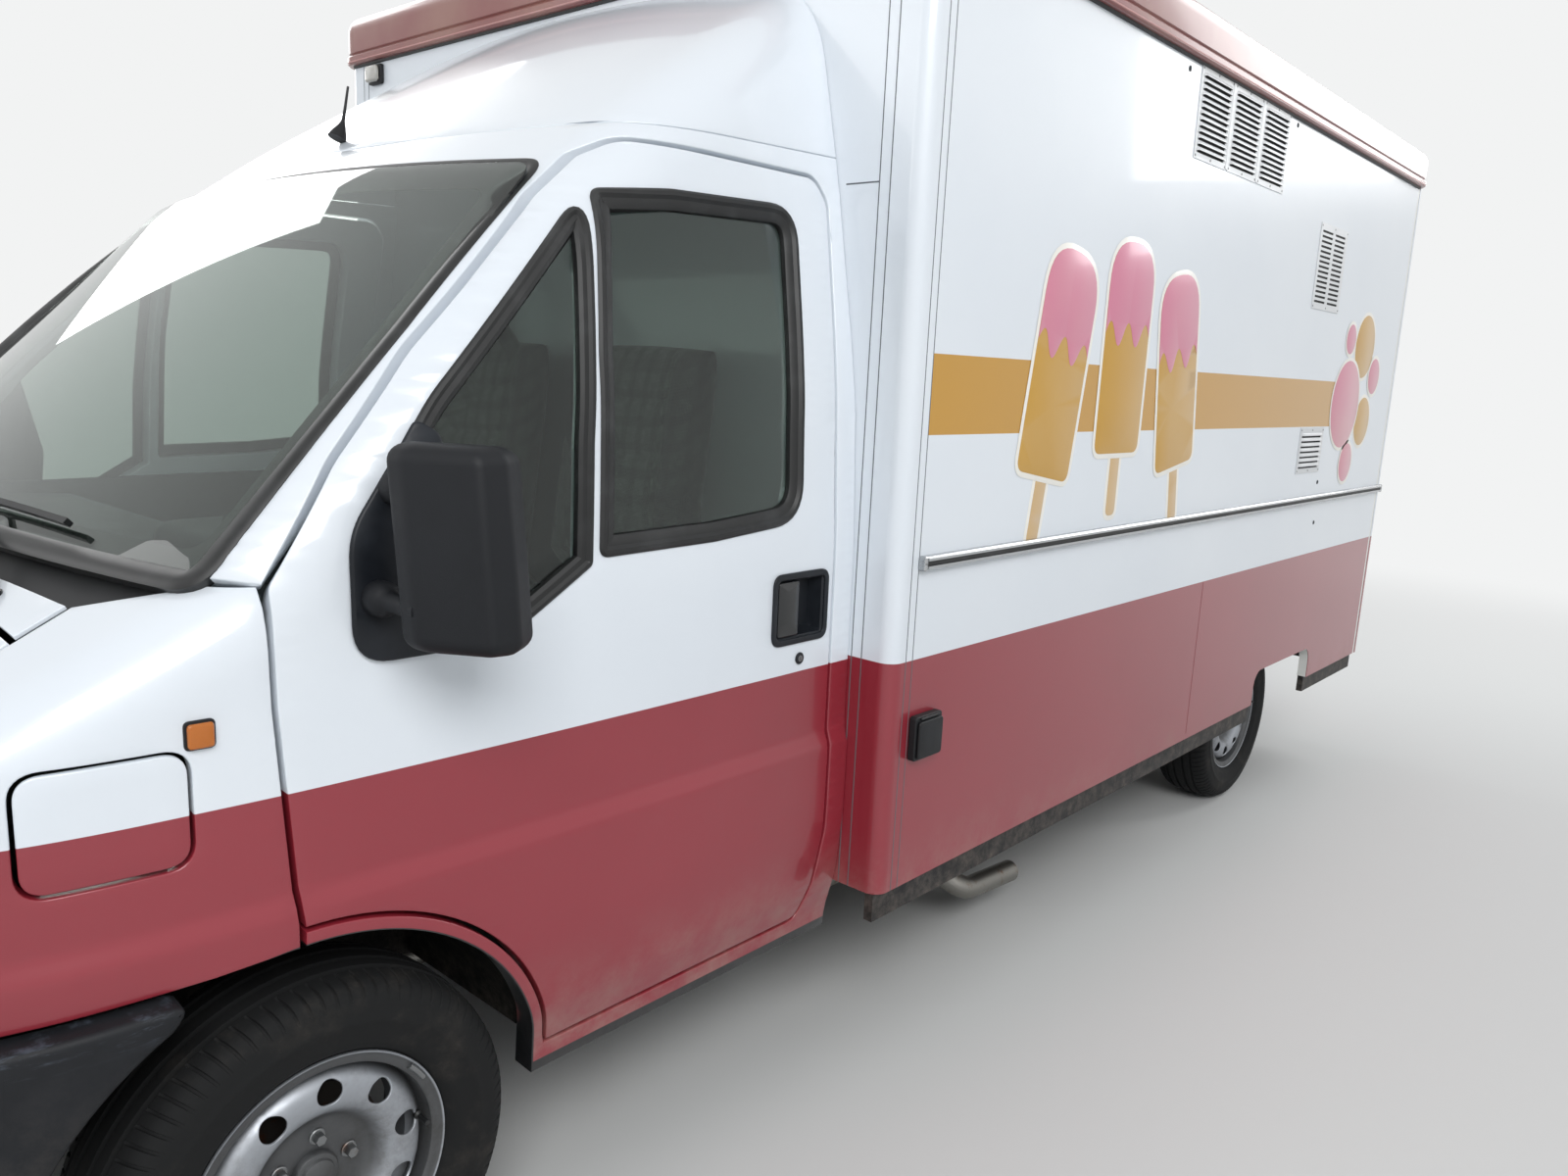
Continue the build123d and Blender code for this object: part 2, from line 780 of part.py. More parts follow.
# Mirrors: a shell on two short arms from a base on the door
mirror_height = 285.0
mirror_width = 172.0
mirror_depth = 92.0
mirror_bottom_z = 1180.0
mirror_inner_y = 1042.0
mirror_turn = 28.0
mirror_arm_radius = 13.0
mirror_arms = ((-88.0, mirror_bottom_z + 60), (-120.0, mirror_bottom_z + mirror_height - 70))
mirror_out = Vector(-sin(radians(mirror_turn)), cos(radians(mirror_turn)), 0)
mirror_plane = Plane(origin=(fore(-48), mirror_inner_y, mirror_bottom_z), x_dir=mirror_out, z_dir=(0, 0, 1))
with BuildPart() as mirror_left:
    with BuildSketch(mirror_plane) as head:
        with Locations((mirror_width / 2, mirror_depth / 2)):
            Rectangle(mirror_width, mirror_depth)
        fillet(head.vertices(), 22)
    extrude(amount=mirror_height)
    fillet(mirror_left.edges().group_by(Axis.Z)[0] + mirror_left.edges().group_by(Axis.Z)[-1], 18)
    with BuildSketch(Plane.XZ.offset(-(cab_half_width - 120))):
        for x, z in mirror_arms:
            with Locations((fore(x), z)):
                Circle(mirror_arm_radius)
    extrude(amount=-(mirror_inner_y - cab_half_width + 160))
    with BuildSketch(Plane.XZ.offset(-(cab_half_width - 120))):
        with BuildLine():
            Polyline((fore(-45), mirror_bottom_z + 80), (fore(-125), mirror_bottom_z + 270),
                     (fore(-190), mirror_bottom_z + 250), (fore(-150), mirror_bottom_z - 30),
                     (fore(-60), mirror_bottom_z - 20), close=True)
        make_face()
    extrude(amount=-110)
    add(side_form(0), mode=Mode.SUBTRACT)
write(mirror_left, "mirror_left")

with BuildPart() as mirror_right:
    mirror(mirror_left.part, about=Plane.XZ)
write(mirror_right, "mirror_right")

# Box body: floor, bearers, walls, roof, corner profiles and roof trim
inner_half_width = box_half_width - box_wall
with BuildPart() as box_floor:
    add(box_solid((box_back_x + box_wall, box_front_x - box_wall), (-inner_half_width, inner_half_width),
                  (box_floor_z, box_floor_z + box_floor_wall)))
write(box_floor, "box_floor")


def wall_with_cut(side):
    """A side wall with the rear wheel's cut-out, on the left for 1 and on the right for -1."""
    y = (side * inner_half_width, side * box_half_width)
    with BuildPart() as wall:
        add(box_solid((box_back_x + box_wall, box_front_x - corner_depth), y, (box_bottom_z, box_top_z)))
        with BuildSketch(Plane.XZ) as cut:
            with BuildLine():
                Polyline((rear_axle_x + rear_cut_front, 0), (rear_axle_x + rear_cut_front, rear_cut_top_z),
                         (rear_axle_x - rear_cut_back, rear_cut_top_z), (rear_axle_x - rear_cut_back, 0),
                         close=True)
            make_face()
            fillet(cut.vertices().group_by(Axis.Z)[-1], rear_cut_radius)
        extrude(amount=far, both=True, mode=Mode.SUBTRACT)
    return wall.part


with BuildPart() as box_wall_left:
    add(wall_with_cut(1))
write(box_wall_left, "box_wall_left")

hatch_x = (aft(hatch_front + hatch_length), aft(hatch_front))
hatch_z = (hatch_bottom_z, hatch_bottom_z + hatch_height)


def hatch_block(grow, y):
    """The serving hatch's place in the right wall, grown by a gap."""
    return box_solid((hatch_x[0] - grow, hatch_x[1] + grow), y, (hatch_z[0] - grow, hatch_z[1] + grow))


hinge_length = 60.0
hinge_depth = 14.0
hatch_hinge_inset = 200.0
counter_inset = (hatch_length - counter_length) / 2
counter_x = (hatch_x[0] + counter_inset, hatch_x[1] - counter_inset)
counter_y = -box_half_width - counter_clearance - counter_thickness / 2
counter_ear = 20.0
with BuildPart() as box_wall_right:
    add(wall_with_cut(-1))
    add(hatch_block(panel_gap, (-far, 0)), mode=Mode.SUBTRACT)
    for x in (hatch_x[0] + hatch_hinge_inset, hatch_x[1] - hatch_hinge_inset):
        add(box_solid((x - hinge_length / 2, x + hinge_length / 2),
                      (-box_half_width, -box_half_width + hinge_depth),
                      (hatch_z[1] + seat_gap, hatch_z[1] + panel_gap)))
    for x in (counter_x[0] - counter_ear - seat_gap, counter_x[1] + seat_gap):
        add(box_solid((x, x + counter_ear), (-box_half_width, counter_y - counter_thickness / 2),
                      (counter_hinge_z - counter_ear, counter_hinge_z + counter_ear)))
write(box_wall_right, "box_wall_right")

with BuildPart() as serving_hatch:
    add(hatch_block(0, (-box_half_width, -inner_half_width)))
write(serving_hatch, "serving_hatch")

with BuildPart() as counter_flap:
    add(box_solid(counter_x, (counter_y - counter_thickness / 2, counter_y + counter_thickness / 2),
                  (counter_hinge_z - counter_height, counter_hinge_z)))
    with BuildSketch(Plane.YZ.offset(counter_x[0])):
        with Locations((counter_y, counter_hinge_z)):
            Circle(counter_thickness / 2)
    extrude(amount=counter_length)
write(counter_flap, "counter_flap")

with BuildPart() as box_wall_front:
    add(box_solid((box_front_x - box_wall, box_front_x),
                  (-box_half_width + corner_width, box_half_width - corner_width),
                  (box_bottom_z, box_top_z)))
    for side in (-1, 1):
        add(box_solid((box_front_x - box_wall, box_front_x),
                      (side * (rail_y - frame_rail_width / 2), side * (rail_y + frame_rail_width / 2)),
                      (box_bottom_z, cab_floor_z)), mode=Mode.SUBTRACT)
write(box_wall_front, "box_wall_front")

door_y = (rear_door_edge_y - rear_door_width, rear_door_edge_y)
door_z = (rear_door_bottom_z, rear_door_bottom_z + rear_door_height)
rear_hinge_inset = 250.0


def rear_door_block(grow, x):
    """The rear door's place in the rear wall, grown by a gap."""
    return box_solid(x, (door_y[0] - grow, door_y[1] + grow), (door_z[0] - grow, door_z[1] + grow))


with BuildPart() as box_wall_rear:
    add(box_solid((box_back_x, box_back_x + box_wall), (-box_half_width, box_half_width),
                  (box_bottom_z, box_top_z)))
    add(rear_door_block(panel_gap, (-far, 0)), mode=Mode.SUBTRACT)
    for z in (door_z[0] + rear_hinge_inset, door_z[1] - rear_hinge_inset):
        add(box_solid((box_back_x, box_back_x + hinge_depth), (door_y[1] + seat_gap, door_y[1] + panel_gap),
                      (z - hinge_length / 2, z + hinge_length / 2)))
write(box_wall_rear, "box_wall_rear")

with BuildPart() as rear_door:
    add(rear_door_block(0, (box_back_x, box_back_x + box_wall)))
write(rear_door, "rear_door")

with BuildPart() as corner_profiles:
    with BuildSketch(Plane.XY.offset(box_bottom_z)) as section:
        with BuildLine():
            Polyline((box_front_x, box_half_width - corner_width), (box_front_x, box_half_width),
                     (box_front_x - corner_depth, box_half_width),
                     (box_front_x - corner_depth, inner_half_width),
                     (box_front_x - box_wall, inner_half_width),
                     (box_front_x - box_wall, box_half_width - corner_width), close=True)
        make_face()
        fillet(section.vertices().sort_by(Axis.X)[-2:].sort_by(Axis.Y)[-1], corner_radius)
    extrude(amount=box_top_z - box_bottom_z)
    mirror(about=Plane.XZ)
write(corner_profiles, "corner_profiles")

trim_bottom_z = box_top_z - 10
trim_half_width = box_half_width + trim_stand
with BuildPart() as box_roof:
    add(box_solid((box_back_x + box_wall, box_front_x - box_wall), (-inner_half_width, inner_half_width),
                  (roof_top_z - roof_wall, roof_top_z)))
write(box_roof, "box_roof")

with BuildPart() as roof_trim:
    add(box_solid((box_back_x - trim_stand / 2, box_front_x + trim_stand),
                  (-trim_half_width, trim_half_width), (trim_bottom_z, trim_bottom_z + trim_height)))
    fillet(roof_trim.edges().filter_by(Axis.Z), trim_stand + corner_radius)
    fillet(roof_trim.edges().group_by(Axis.Z)[-1], trim_round)
    add(box_solid((box_back_x + box_wall, box_front_x - box_wall), (-inner_half_width, inner_half_width),
                  (0, far)), mode=Mode.SUBTRACT)
    add(box_solid((box_back_x, box_front_x), (-box_half_width, box_half_width), (0, box_top_z)),
        mode=Mode.SUBTRACT)
    add(upper_form(0), mode=Mode.SUBTRACT)
write(roof_trim, "roof_trim")

# Outside fittings of the box
rail_inset = 70.0
with BuildPart() as side_rail:
    add(box_solid((aft(rail_inset), aft(box_length - rail_inset / 4)),
                  (box_half_width, box_half_width + rail_stand),
                  (rail_z - rail_height / 2, rail_z + rail_height / 2)))
    fillet(side_rail.edges().filter_by(Axis.X).sort_by(Axis.Y)[-2:], rail_stand * 0.4)
write(side_rail, "side_rail")

# Vents on the left wall: distance behind the box's front, bottom height, length, height
vent_table = (
    (1230, 2190, 700, 240),
    (2340, 1870, 300, 290),
    (2400, 1293, 260, 169),
)
vent_stand = 8.0
with BuildPart() as vents:
    for back, bottom, length, height in vent_table:
        add(box_solid((aft(back), aft(back + length)), (box_half_width, box_half_width + vent_stand),
                      (bottom, bottom + height)))
write(vents, "vents")

socket_size = 100.0
socket_stand = 28.0
socket_back = corner_depth + 2
socket_round = 6.0
socket_bottom_z = 758.0
with BuildPart() as socket_box:
    add(box_solid((aft(socket_back), aft(socket_back + socket_size)),
                  (box_half_width, box_half_width + socket_stand),
                  (socket_bottom_z, socket_bottom_z + socket_size)))
    fillet(socket_box.edges().sort_by(Axis.Y)[-4:], socket_round)
write(socket_box, "socket_box")

skirt_spans = (
    (aft(0), rear_axle_x + rear_cut_front),
    (rear_axle_x - rear_cut_back, aft(box_length - box_wall)),
)
with BuildPart() as skirt_strips:
    for side in (-1, 1):
        y = side * (box_half_width - skirt_inset - skirt_thickness / 2)
        for x in skirt_spans:
            add(box_solid(x, (y - skirt_thickness / 2, y + skirt_thickness / 2),
                          (box_bottom_z - skirt_height, box_bottom_z)))
write(skirt_strips, "skirt_strips")

rear_bumper_z = 400.0
rear_bumper_height = 110.0
rear_bumper_half_width = 1040.0
rear_bumper_round = 25.0
with BuildPart() as rear_bumper:
    add(box_solid((-overall_length / 2, box_back_x), (-rear_bumper_half_width, rear_bumper_half_width),
                  (rear_bumper_z, rear_bumper_z + rear_bumper_height)))
    fillet(rear_bumper.edges().filter_by(Axis.Z).sort_by(Axis.X)[:2], rear_bumper_round)
write(rear_bumper, "rear_bumper")

# Lamps: headlamps in the nose, tail lamps and markers on the rear wall
lamp_stand = 30.0
rear_lamp_y = 955.0
rear_lamp_width = 120.0
rear_lamp_z = 560.0
rear_lamp_height = 330.0
marker_y = (1010.0, 1085.0)
marker_z = 2345.0
marker_height = 60.0
with BuildPart() as lamps:
    add(nose_form(0))
    add(nose_form(lamp_depth), mode=Mode.SUBTRACT)
    add(box_solid((fore(nose_x - 330), fore(far)), (lamp_inner_y, lamp_outer_y - seat_gap),
                  (wing_bottom_z, lamp_top_z - seat_gap)), mode=Mode.INTERSECT)
    mirror(about=Plane.XZ)
    for side in (-1, 1):
        y = side * rear_lamp_y
        add(box_solid((box_back_x - lamp_stand, box_back_x),
                      (y - rear_lamp_width / 2, y + rear_lamp_width / 2),
                      (rear_lamp_z, rear_lamp_z + rear_lamp_height)))
        add(box_solid((box_back_x - lamp_stand, box_back_x), (side * marker_y[0], side * marker_y[1]),
                      (marker_z, marker_z + marker_height)))
write(lamps, "lamps")

# Chassis: two rails, bearers across them under the box floor, subframe with arms, engine
bearer_span = (aft(box_wall + 120), rear_axle_x + rear_cut_front + 250)
bearer_step = (bearer_span[0] - bearer_span[1]) / (bearer_count - 1)
bearer_places = [bearer_span[0] - i * bearer_step for i in range(bearer_count)]
bearer_places += [rear_axle_x - rear_cut_back - 120, box_back_x + box_wall + bearer_width]
with BuildPart() as chassis_rails:
    for side in (-1, 1):
        y = side * rail_y
        add(box_solid((box_back_x + box_wall, fore(far)),
                      (y - frame_rail_width / 2, y + frame_rail_width / 2), (frame_rail_z, cab_floor_z)))
    add(plan_prism(-bumper_lap - seat_gap), mode=Mode.INTERSECT)
write(chassis_rails, "chassis_rails")

with BuildPart() as chassis_bearers:
    for x in bearer_places:
        add(box_solid((x - bearer_width / 2, x + bearer_width / 2), (-bearer_end, bearer_end),
                      (cab_floor_z, box_floor_z)))
write(chassis_bearers, "chassis_bearers")

engine_front = 620.0
engine_clearance = 20.0
subframe_x = (-220.0, 200.0)
engine_z = subframe_z + subframe_height
rail_inner_y = rail_y - frame_rail_width / 2
rail_outer_y = rail_y + frame_rail_width / 2
with BuildPart() as engine_block:
    add(box_solid((fore(firewall_x + cab_floor_wall + engine_clearance), fore(engine_front)),
                  (-rail_inner_y + engine_clearance, rail_inner_y - 3 * engine_clearance),
                  (engine_z, engine_z + engine_height)))
write(engine_block, "engine_block")

arm_thickness = 26.0
arm_drop = 18.0
arm_z = ball_joint_z - arm_drop - arm_thickness
arm_inner_y = rail_y - 60
arm_tip = 28.0
arm_eye = 40.0
arm_boss_radius = 24.0
arm_boss_length = 36.0
with BuildPart() as front_suspension:
    with BuildSketch(Plane.XY.offset(subframe_z)):
        with Locations((fore(sum(subframe_x) / 2), 0)):
            Rectangle(subframe_x[1] - subframe_x[0], 2 * rail_y)
    extrude(amount=subframe_height)
    with BuildSketch(Plane.XY.offset(arm_z)):
        with BuildLine():
            Polyline((fore(-180), arm_inner_y), (fore(140), arm_inner_y), (fore(arm_tip), ball_joint_y),
                     (fore(-arm_tip), ball_joint_y), close=True)
        make_face()
    extrude(amount=arm_thickness)
    for x in (-180, 140 - arm_eye):
        add(box_solid((fore(x), fore(x + arm_eye)), (arm_inner_y, rail_y), (arm_z, subframe_z)))
    add(box_solid((fore(-200), fore(-100)), (rail_inner_y, rail_y + frame_rail_width / 2),
                  (subframe_z, frame_rail_z)))
    with BuildSketch(kingpin_plane):
        Circle(arm_boss_radius)
    extrude(amount=-arm_boss_length)
    mirror(about=Plane.XZ)
write(front_suspension, "front_suspension")

upright_height = 235.0
upright_size = (72.0, 70.0)
spring_foot = strut_length - spring_length - 30
spindle_radius = hub_bore_radius - seat_gap
spindle_stand = 14.0
hub_face = 34.0
hub_radius_inner = 62.0
hub_reach = 110.0
disc_thickness = 24.0
with BuildPart() as knuckle_left:
    with BuildSketch(kingpin_plane.offset(seat_gap)):
        Rectangle(*upright_size)
    extrude(amount=upright_height)
    with BuildSketch(kingpin_plane.offset(upright_height)):
        Circle(strut_radius)
    extrude(amount=strut_length - upright_height)
    with BuildSketch(kingpin_plane.offset(spring_foot)):
        Circle(spring_radius)
    extrude(amount=spring_length)
    with BuildSketch(Plane.XZ.offset(-(wheel_y - hub_reach))):
        with Locations((front_axle_x, tyre_radius)):
            Circle(hub_radius_inner)
    extrude(amount=-(hub_reach + hub_face - seat_gap))
    with BuildSketch(Plane.XZ.offset(-(wheel_y - disc_thickness / 2))):
        with Locations((front_axle_x, tyre_radius)):
            Circle(brake_radius)
    extrude(amount=-disc_thickness)
    with BuildSketch(Plane.XZ.offset(-wheel_y)):
        with Locations((front_axle_x, tyre_radius)):
            Circle(spindle_radius)
    extrude(amount=-(hub_face + spindle_stand))
write(knuckle_left, "knuckle_left")

with BuildPart() as knuckle_right:
    mirror(knuckle_left.part, about=Plane.XZ)
write(knuckle_right, "knuckle_right")

drum_inset = 70.0
brake_y = wheel_y - drum_inset
rear_hub_reach = drum_inset + hub_face - seat_gap
with BuildPart() as rear_axle:
    for radius, end in ((spindle_radius, wheel_y + hub_face + spindle_stand), (axle_tube_radius, brake_y)):
        with BuildSketch(Plane.XZ.offset(-end)):
            with Locations((rear_axle_x, tyre_radius)):
                Circle(radius)
        extrude(amount=2 * end)
    for side in (-1, 1):
        for radius, reach in ((brake_radius, brake_thickness), (hub_radius_inner, rear_hub_reach)):
            with BuildSketch(Plane.XZ.offset(-side * brake_y)):
                with Locations((rear_axle_x, tyre_radius)):
                    Circle(radius)
            extrude(amount=-side * reach)
write(rear_axle, "rear_axle")

leaf_foot_z = tyre_radius + axle_tube_radius
leaf_eye_z = leaf_foot_z + leaf_rise
leaf_front_x = rear_axle_x + leaf_span / 2
leaf_back_x = rear_axle_x - leaf_span / 2
leaf_eye_length = 60.0
with BuildPart() as leaf_springs:
    with BuildSketch(Plane.XZ.offset(-(leaf_y - leaf_width / 2))):
        with BuildLine():
            ThreePointArc((leaf_back_x, leaf_eye_z), (rear_axle_x, leaf_foot_z), (leaf_front_x, leaf_eye_z))
            Line((leaf_front_x, leaf_eye_z), (leaf_front_x, leaf_eye_z + leaf_thickness))
            ThreePointArc((leaf_front_x, leaf_eye_z + leaf_thickness),
                          (rear_axle_x, leaf_foot_z + leaf_thickness),
                          (leaf_back_x, leaf_eye_z + leaf_thickness))
            Line((leaf_back_x, leaf_eye_z + leaf_thickness), (leaf_back_x, leaf_eye_z))
        make_face()
    extrude(amount=-leaf_width)
    for x in (leaf_back_x, leaf_front_x):
        add(box_solid((x - leaf_eye_length / 2, x + leaf_eye_length / 2),
                      (rail_outer_y, leaf_y + leaf_width / 2),
                      (leaf_eye_z - 10, leaf_eye_z + leaf_thickness + 20)))
    mirror(about=Plane.XZ)
write(leaf_springs, "leaf_springs")

tank_length = 800.0
tank_z = (235.0, 510.0)
tank_back = 320.0
tank_width = 340.0
tank_round = 50.0
with BuildPart() as fuel_tank:
    add(box_solid((aft(tank_back), aft(tank_back + tank_length)),
                  (-rail_outer_y - tank_width, -rail_outer_y), tank_z))
    fillet(fuel_tank.edges().filter_by(Axis.X).sort_by(Axis.Z)[:2], tank_round)
write(fuel_tank, "fuel_tank")

silencer_radius = 85.0
silencer_y = 640.0
silencer_z = 300.0
silencer_back = (180.0, 640.0)
exhaust_end_x = -2200.0
exhaust_rise_x = -1820.0
pipe_radius = 26.0
pipe_y = 200.0
pipe_z = subframe_z - pipe_radius - 12
pipe_top_x = fore(320)
hanger_x = (aft(400), aft(440))
hanger_thickness = 20.0
tail_points = (
    (aft(silencer_back[1]) + 40, silencer_y, silencer_z),
    (fore(exhaust_rise_x), silencer_y + 40, silencer_z - 30),
    (fore(exhaust_rise_x - 130), exhaust_y, exhaust_z + 20),
    (fore(exhaust_end_x), exhaust_y, exhaust_z),
)
down_points = (
    (aft(silencer_back[0]) - 40, silencer_y, silencer_z),
    (fore(-1010), silencer_y - 60, silencer_z - 30),
    (fore(-850), pipe_y + 80, pipe_z),
    (pipe_top_x, pipe_y, pipe_z),
    (pipe_top_x, pipe_y, engine_z),
)
with BuildPart() as exhaust:
    with BuildSketch(Plane.YZ.offset(aft(silencer_back[1]))):
        with Locations((silencer_y, silencer_z)):
            Circle(silencer_radius)
    extrude(amount=silencer_back[1] - silencer_back[0])
    for points, radius, bend in ((tail_points, exhaust_radius, 70), (down_points, pipe_radius, 60)):
        with BuildLine() as run:
            FilletPolyline(*points, radius=bend)
        with BuildSketch(Plane(origin=run.line @ 0, z_dir=run.line % 0)):
            Circle(radius)
        sweep(path=run.line)
    add(box_solid(hanger_x, (rail_outer_y, silencer_y), (frame_rail_z, frame_rail_z + hanger_thickness)))
    add(box_solid(hanger_x, (silencer_y - hanger_thickness / 2, silencer_y + hanger_thickness / 2),
                  (silencer_z, frame_rail_z + hanger_thickness)))
write(exhaust, "exhaust")

# Wheels: tyre and rim turned about the axle, the disc with its ring of round holes
bead_radius = rim_flange_radius - 17
well_radius = rim_flange_radius - 42
half_rim = rim_width / 2


def tyre_form():
    """The tyre about its own axis, which lies along Y."""
    half = tyre_width / 2
    with BuildPart() as tyre:
        with BuildSketch(Plane.YZ):
            with BuildLine():
                Polyline((-half_rim + rim_wall, bead_radius), (-half_rim + rim_wall, rim_flange_radius),
                         (-half + 8, rim_flange_radius + 22), (-half, (tyre_radius + rim_flange_radius) / 2),
                         (-half + 6, tyre_radius - tyre_shoulder), (-half + 30, tyre_radius - 8),
                         (-half + 60, tyre_radius))
                Line((-half + 60, tyre_radius), (half - 60, tyre_radius))
                Polyline((half - 60, tyre_radius), (half - 30, tyre_radius - 8),
                         (half - 6, tyre_radius - tyre_shoulder),
                         (half, (tyre_radius + rim_flange_radius) / 2),
                         (half - 8, rim_flange_radius + 22), (half_rim - rim_wall, rim_flange_radius),
                         (half_rim - rim_wall, bead_radius))
                Line((half_rim - rim_wall, bead_radius), (-half_rim + rim_wall, bead_radius))
            make_face()
        revolve(axis=Axis.Y)
    return tyre.part


def rim_form():
    """The steel rim about its own axis: flanges, drop centre, and a dished disc at the outer side."""
    with BuildPart() as rim:
        with BuildSketch(Plane.YZ):
            with BuildLine():
                Polyline((-half_rim, rim_flange_radius), (-half_rim, bead_radius - rim_wall),
                         (-40, bead_radius - rim_wall), (-30, well_radius - rim_wall),
                         (30, well_radius - rim_wall), (40, bead_radius - rim_wall - 3), (52, 171),
                         (64, 160), (67, 142), (60, 118), (hub_face, hub_radius + 20),
                         (hub_face, hub_bore_radius), (hub_face + rim_wall, hub_bore_radius),
                         (hub_face + rim_wall, hub_radius + 16), (70, 112), (77, 140), (73, 160),
                         (60, 175), (58, bead_radius - rim_wall), (half_rim, bead_radius - rim_wall),
                         (half_rim, rim_flange_radius),
                         (half_rim - rim_wall, rim_flange_radius), (half_rim - rim_wall, bead_radius),
                         (44, bead_radius), (34, well_radius), (-30, well_radius), (-40, bead_radius),
                         (-half_rim + rim_wall, bead_radius), (-half_rim + rim_wall, rim_flange_radius),
                         close=True)
            make_face()
        revolve(axis=Axis.Y)
        with BuildSketch(Plane.XZ.offset(-half_rim - 20)):
            with PolarLocations(rim_vent_pitch_radius, rim_vent_count):
                Circle(rim_vent_radius)
        extrude(amount=rim_vent_depth, mode=Mode.SUBTRACT)
    return rim.part


# Wheel places: name, axle, side of the truck
wheel_places = (
    ("front_left", front_axle_x, 1),
    ("front_right", front_axle_x, -1),
    ("rear_left", rear_axle_x, 1),
    ("rear_right", rear_axle_x, -1),
)
for place, axle_x, side in wheel_places:
    spot = Location((axle_x, side * wheel_y, tyre_radius), (0, 0, 0 if side > 0 else 180))
    with BuildPart() as tyre:
        add(tyre_form().moved(spot))
    write(tyre, f"tyre_{place}")
    with BuildPart() as rim:
        add(rim_form().moved(spot))
    write(rim, f"rim_{place}")
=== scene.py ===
"""Ice cream truck: a van's front with a tall sales box behind it, in two-tone enamel.
Metres, +X forward, +Y to the truck's left, +Z up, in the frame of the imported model."""
import math

import bmesh
import bpy
import numpy as np
from mathutils import Matrix, Vector
from mathutils.geometry import delaunay_2d_cdt


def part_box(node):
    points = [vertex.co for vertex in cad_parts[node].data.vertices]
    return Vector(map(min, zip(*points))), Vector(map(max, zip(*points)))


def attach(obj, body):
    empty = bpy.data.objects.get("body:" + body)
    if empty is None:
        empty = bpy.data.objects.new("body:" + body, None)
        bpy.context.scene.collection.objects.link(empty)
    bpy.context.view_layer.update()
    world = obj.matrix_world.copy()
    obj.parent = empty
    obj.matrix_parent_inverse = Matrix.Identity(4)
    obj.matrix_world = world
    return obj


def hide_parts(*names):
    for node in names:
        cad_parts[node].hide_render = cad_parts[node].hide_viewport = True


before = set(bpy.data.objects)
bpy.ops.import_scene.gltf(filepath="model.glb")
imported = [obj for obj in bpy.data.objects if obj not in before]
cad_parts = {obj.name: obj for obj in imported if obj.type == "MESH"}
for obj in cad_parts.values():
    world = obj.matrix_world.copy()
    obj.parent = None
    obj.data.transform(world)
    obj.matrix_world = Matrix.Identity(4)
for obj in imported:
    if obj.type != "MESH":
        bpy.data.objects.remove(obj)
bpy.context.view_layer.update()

# Camera: a phone held at eye height by the front left wheel. Its place and its three axes come
# from the photo's vanishing lines, scaled by the 15 inch front wheel.
view_place = (2.6409, 2.4519, 1.5876)
view_right = (-0.66380588, 0.74645816, 0.04649699)
view_up = (-0.11102931, -0.15983464, 0.9808799)
view_back = (0.73961763, 0.64595132, 0.18897791)
camera_data = bpy.data.cameras.new("camera")
camera_data.sensor_width = 36.0
camera_data.lens = 26.35
camera = bpy.data.objects.new("camera", camera_data)
view_turn = Matrix((view_right, view_up, view_back)).transposed()
camera.matrix_world = Matrix.Translation(view_place) @ view_turn.to_4x4()
bpy.context.scene.collection.objects.link(camera)
bpy.context.scene.camera = camera
bpy.context.scene.view_settings.view_transform = "Standard"


# Light: a pale studio with a soft sky and four large panels. The sky is a little darker towards
# the ground, so that curved enamel shows its form, and plain pale where it is looked at.
def srgb(code):
    """An sRGB hex colour as linear red, green, blue and full alpha."""
    parts = [int(code[i:i + 2], 16) / 255 for i in (1, 3, 5)]
    return [v / 12.92 if v <= 0.04045 else ((v + 0.055) / 1.055) ** 2.4 for v in parts] + [1.0]


def node(tree, kind, inputs=(), output=0, **settings):
    """Adds one shader node and returns one of its outputs. inputs go by socket name or number, and
    a socket given as a value is linked."""
    made = tree.nodes.new("ShaderNode" + kind)
    for key, value in settings.items():
        setattr(made, key, value)
    for key, value in dict(inputs).items():
        if isinstance(value, bpy.types.NodeSocket):
            tree.links.new(value, made.inputs[key])
        else:
            made.inputs[key].default_value = value
    return made.outputs[output]


def looked_at(tree):
    """1 where the pale background is seen, straight or by way of metal or glass, else 0."""
    rays = node(tree, "LightPath").node.outputs
    seen = node(tree, "Math", {0: rays["Is Camera Ray"], 1: rays["Is Glossy Ray"]}, operation="MAXIMUM")
    return node(tree, "Math", {0: seen, 1: rays["Is Transmission Ray"]}, operation="MAXIMUM")


backdrop = srgb("#F2F3F3")
world = bpy.data.worlds.new("studio")
world.use_nodes = True
bpy.context.scene.world = world
sky = world.node_tree
sky_height = node(sky, "SeparateXYZ", {0: node(sky, "TexCoord", output="Generated")}, output="Z")
sky_tone = node(sky, "ValToRGB", {0: sky_height})
for stop, tone, height in zip(sky_tone.node.color_ramp.elements, ("#9AA3AB", "#F7FAFD"), (0.0, 0.6)):
    stop.color, stop.position = srgb(tone), height
sky_light = node(sky, "Background", {"Color": sky_tone, "Strength": 0.46})
sky_seen = node(sky, "Background", {"Color": backdrop, "Strength": 1.0})
sky_mix = node(sky, "MixShader", {0: looked_at(sky), 1: sky_light, 2: sky_seen})
sky.links.new(sky_mix, sky.nodes["World Output"].inputs["Surface"])

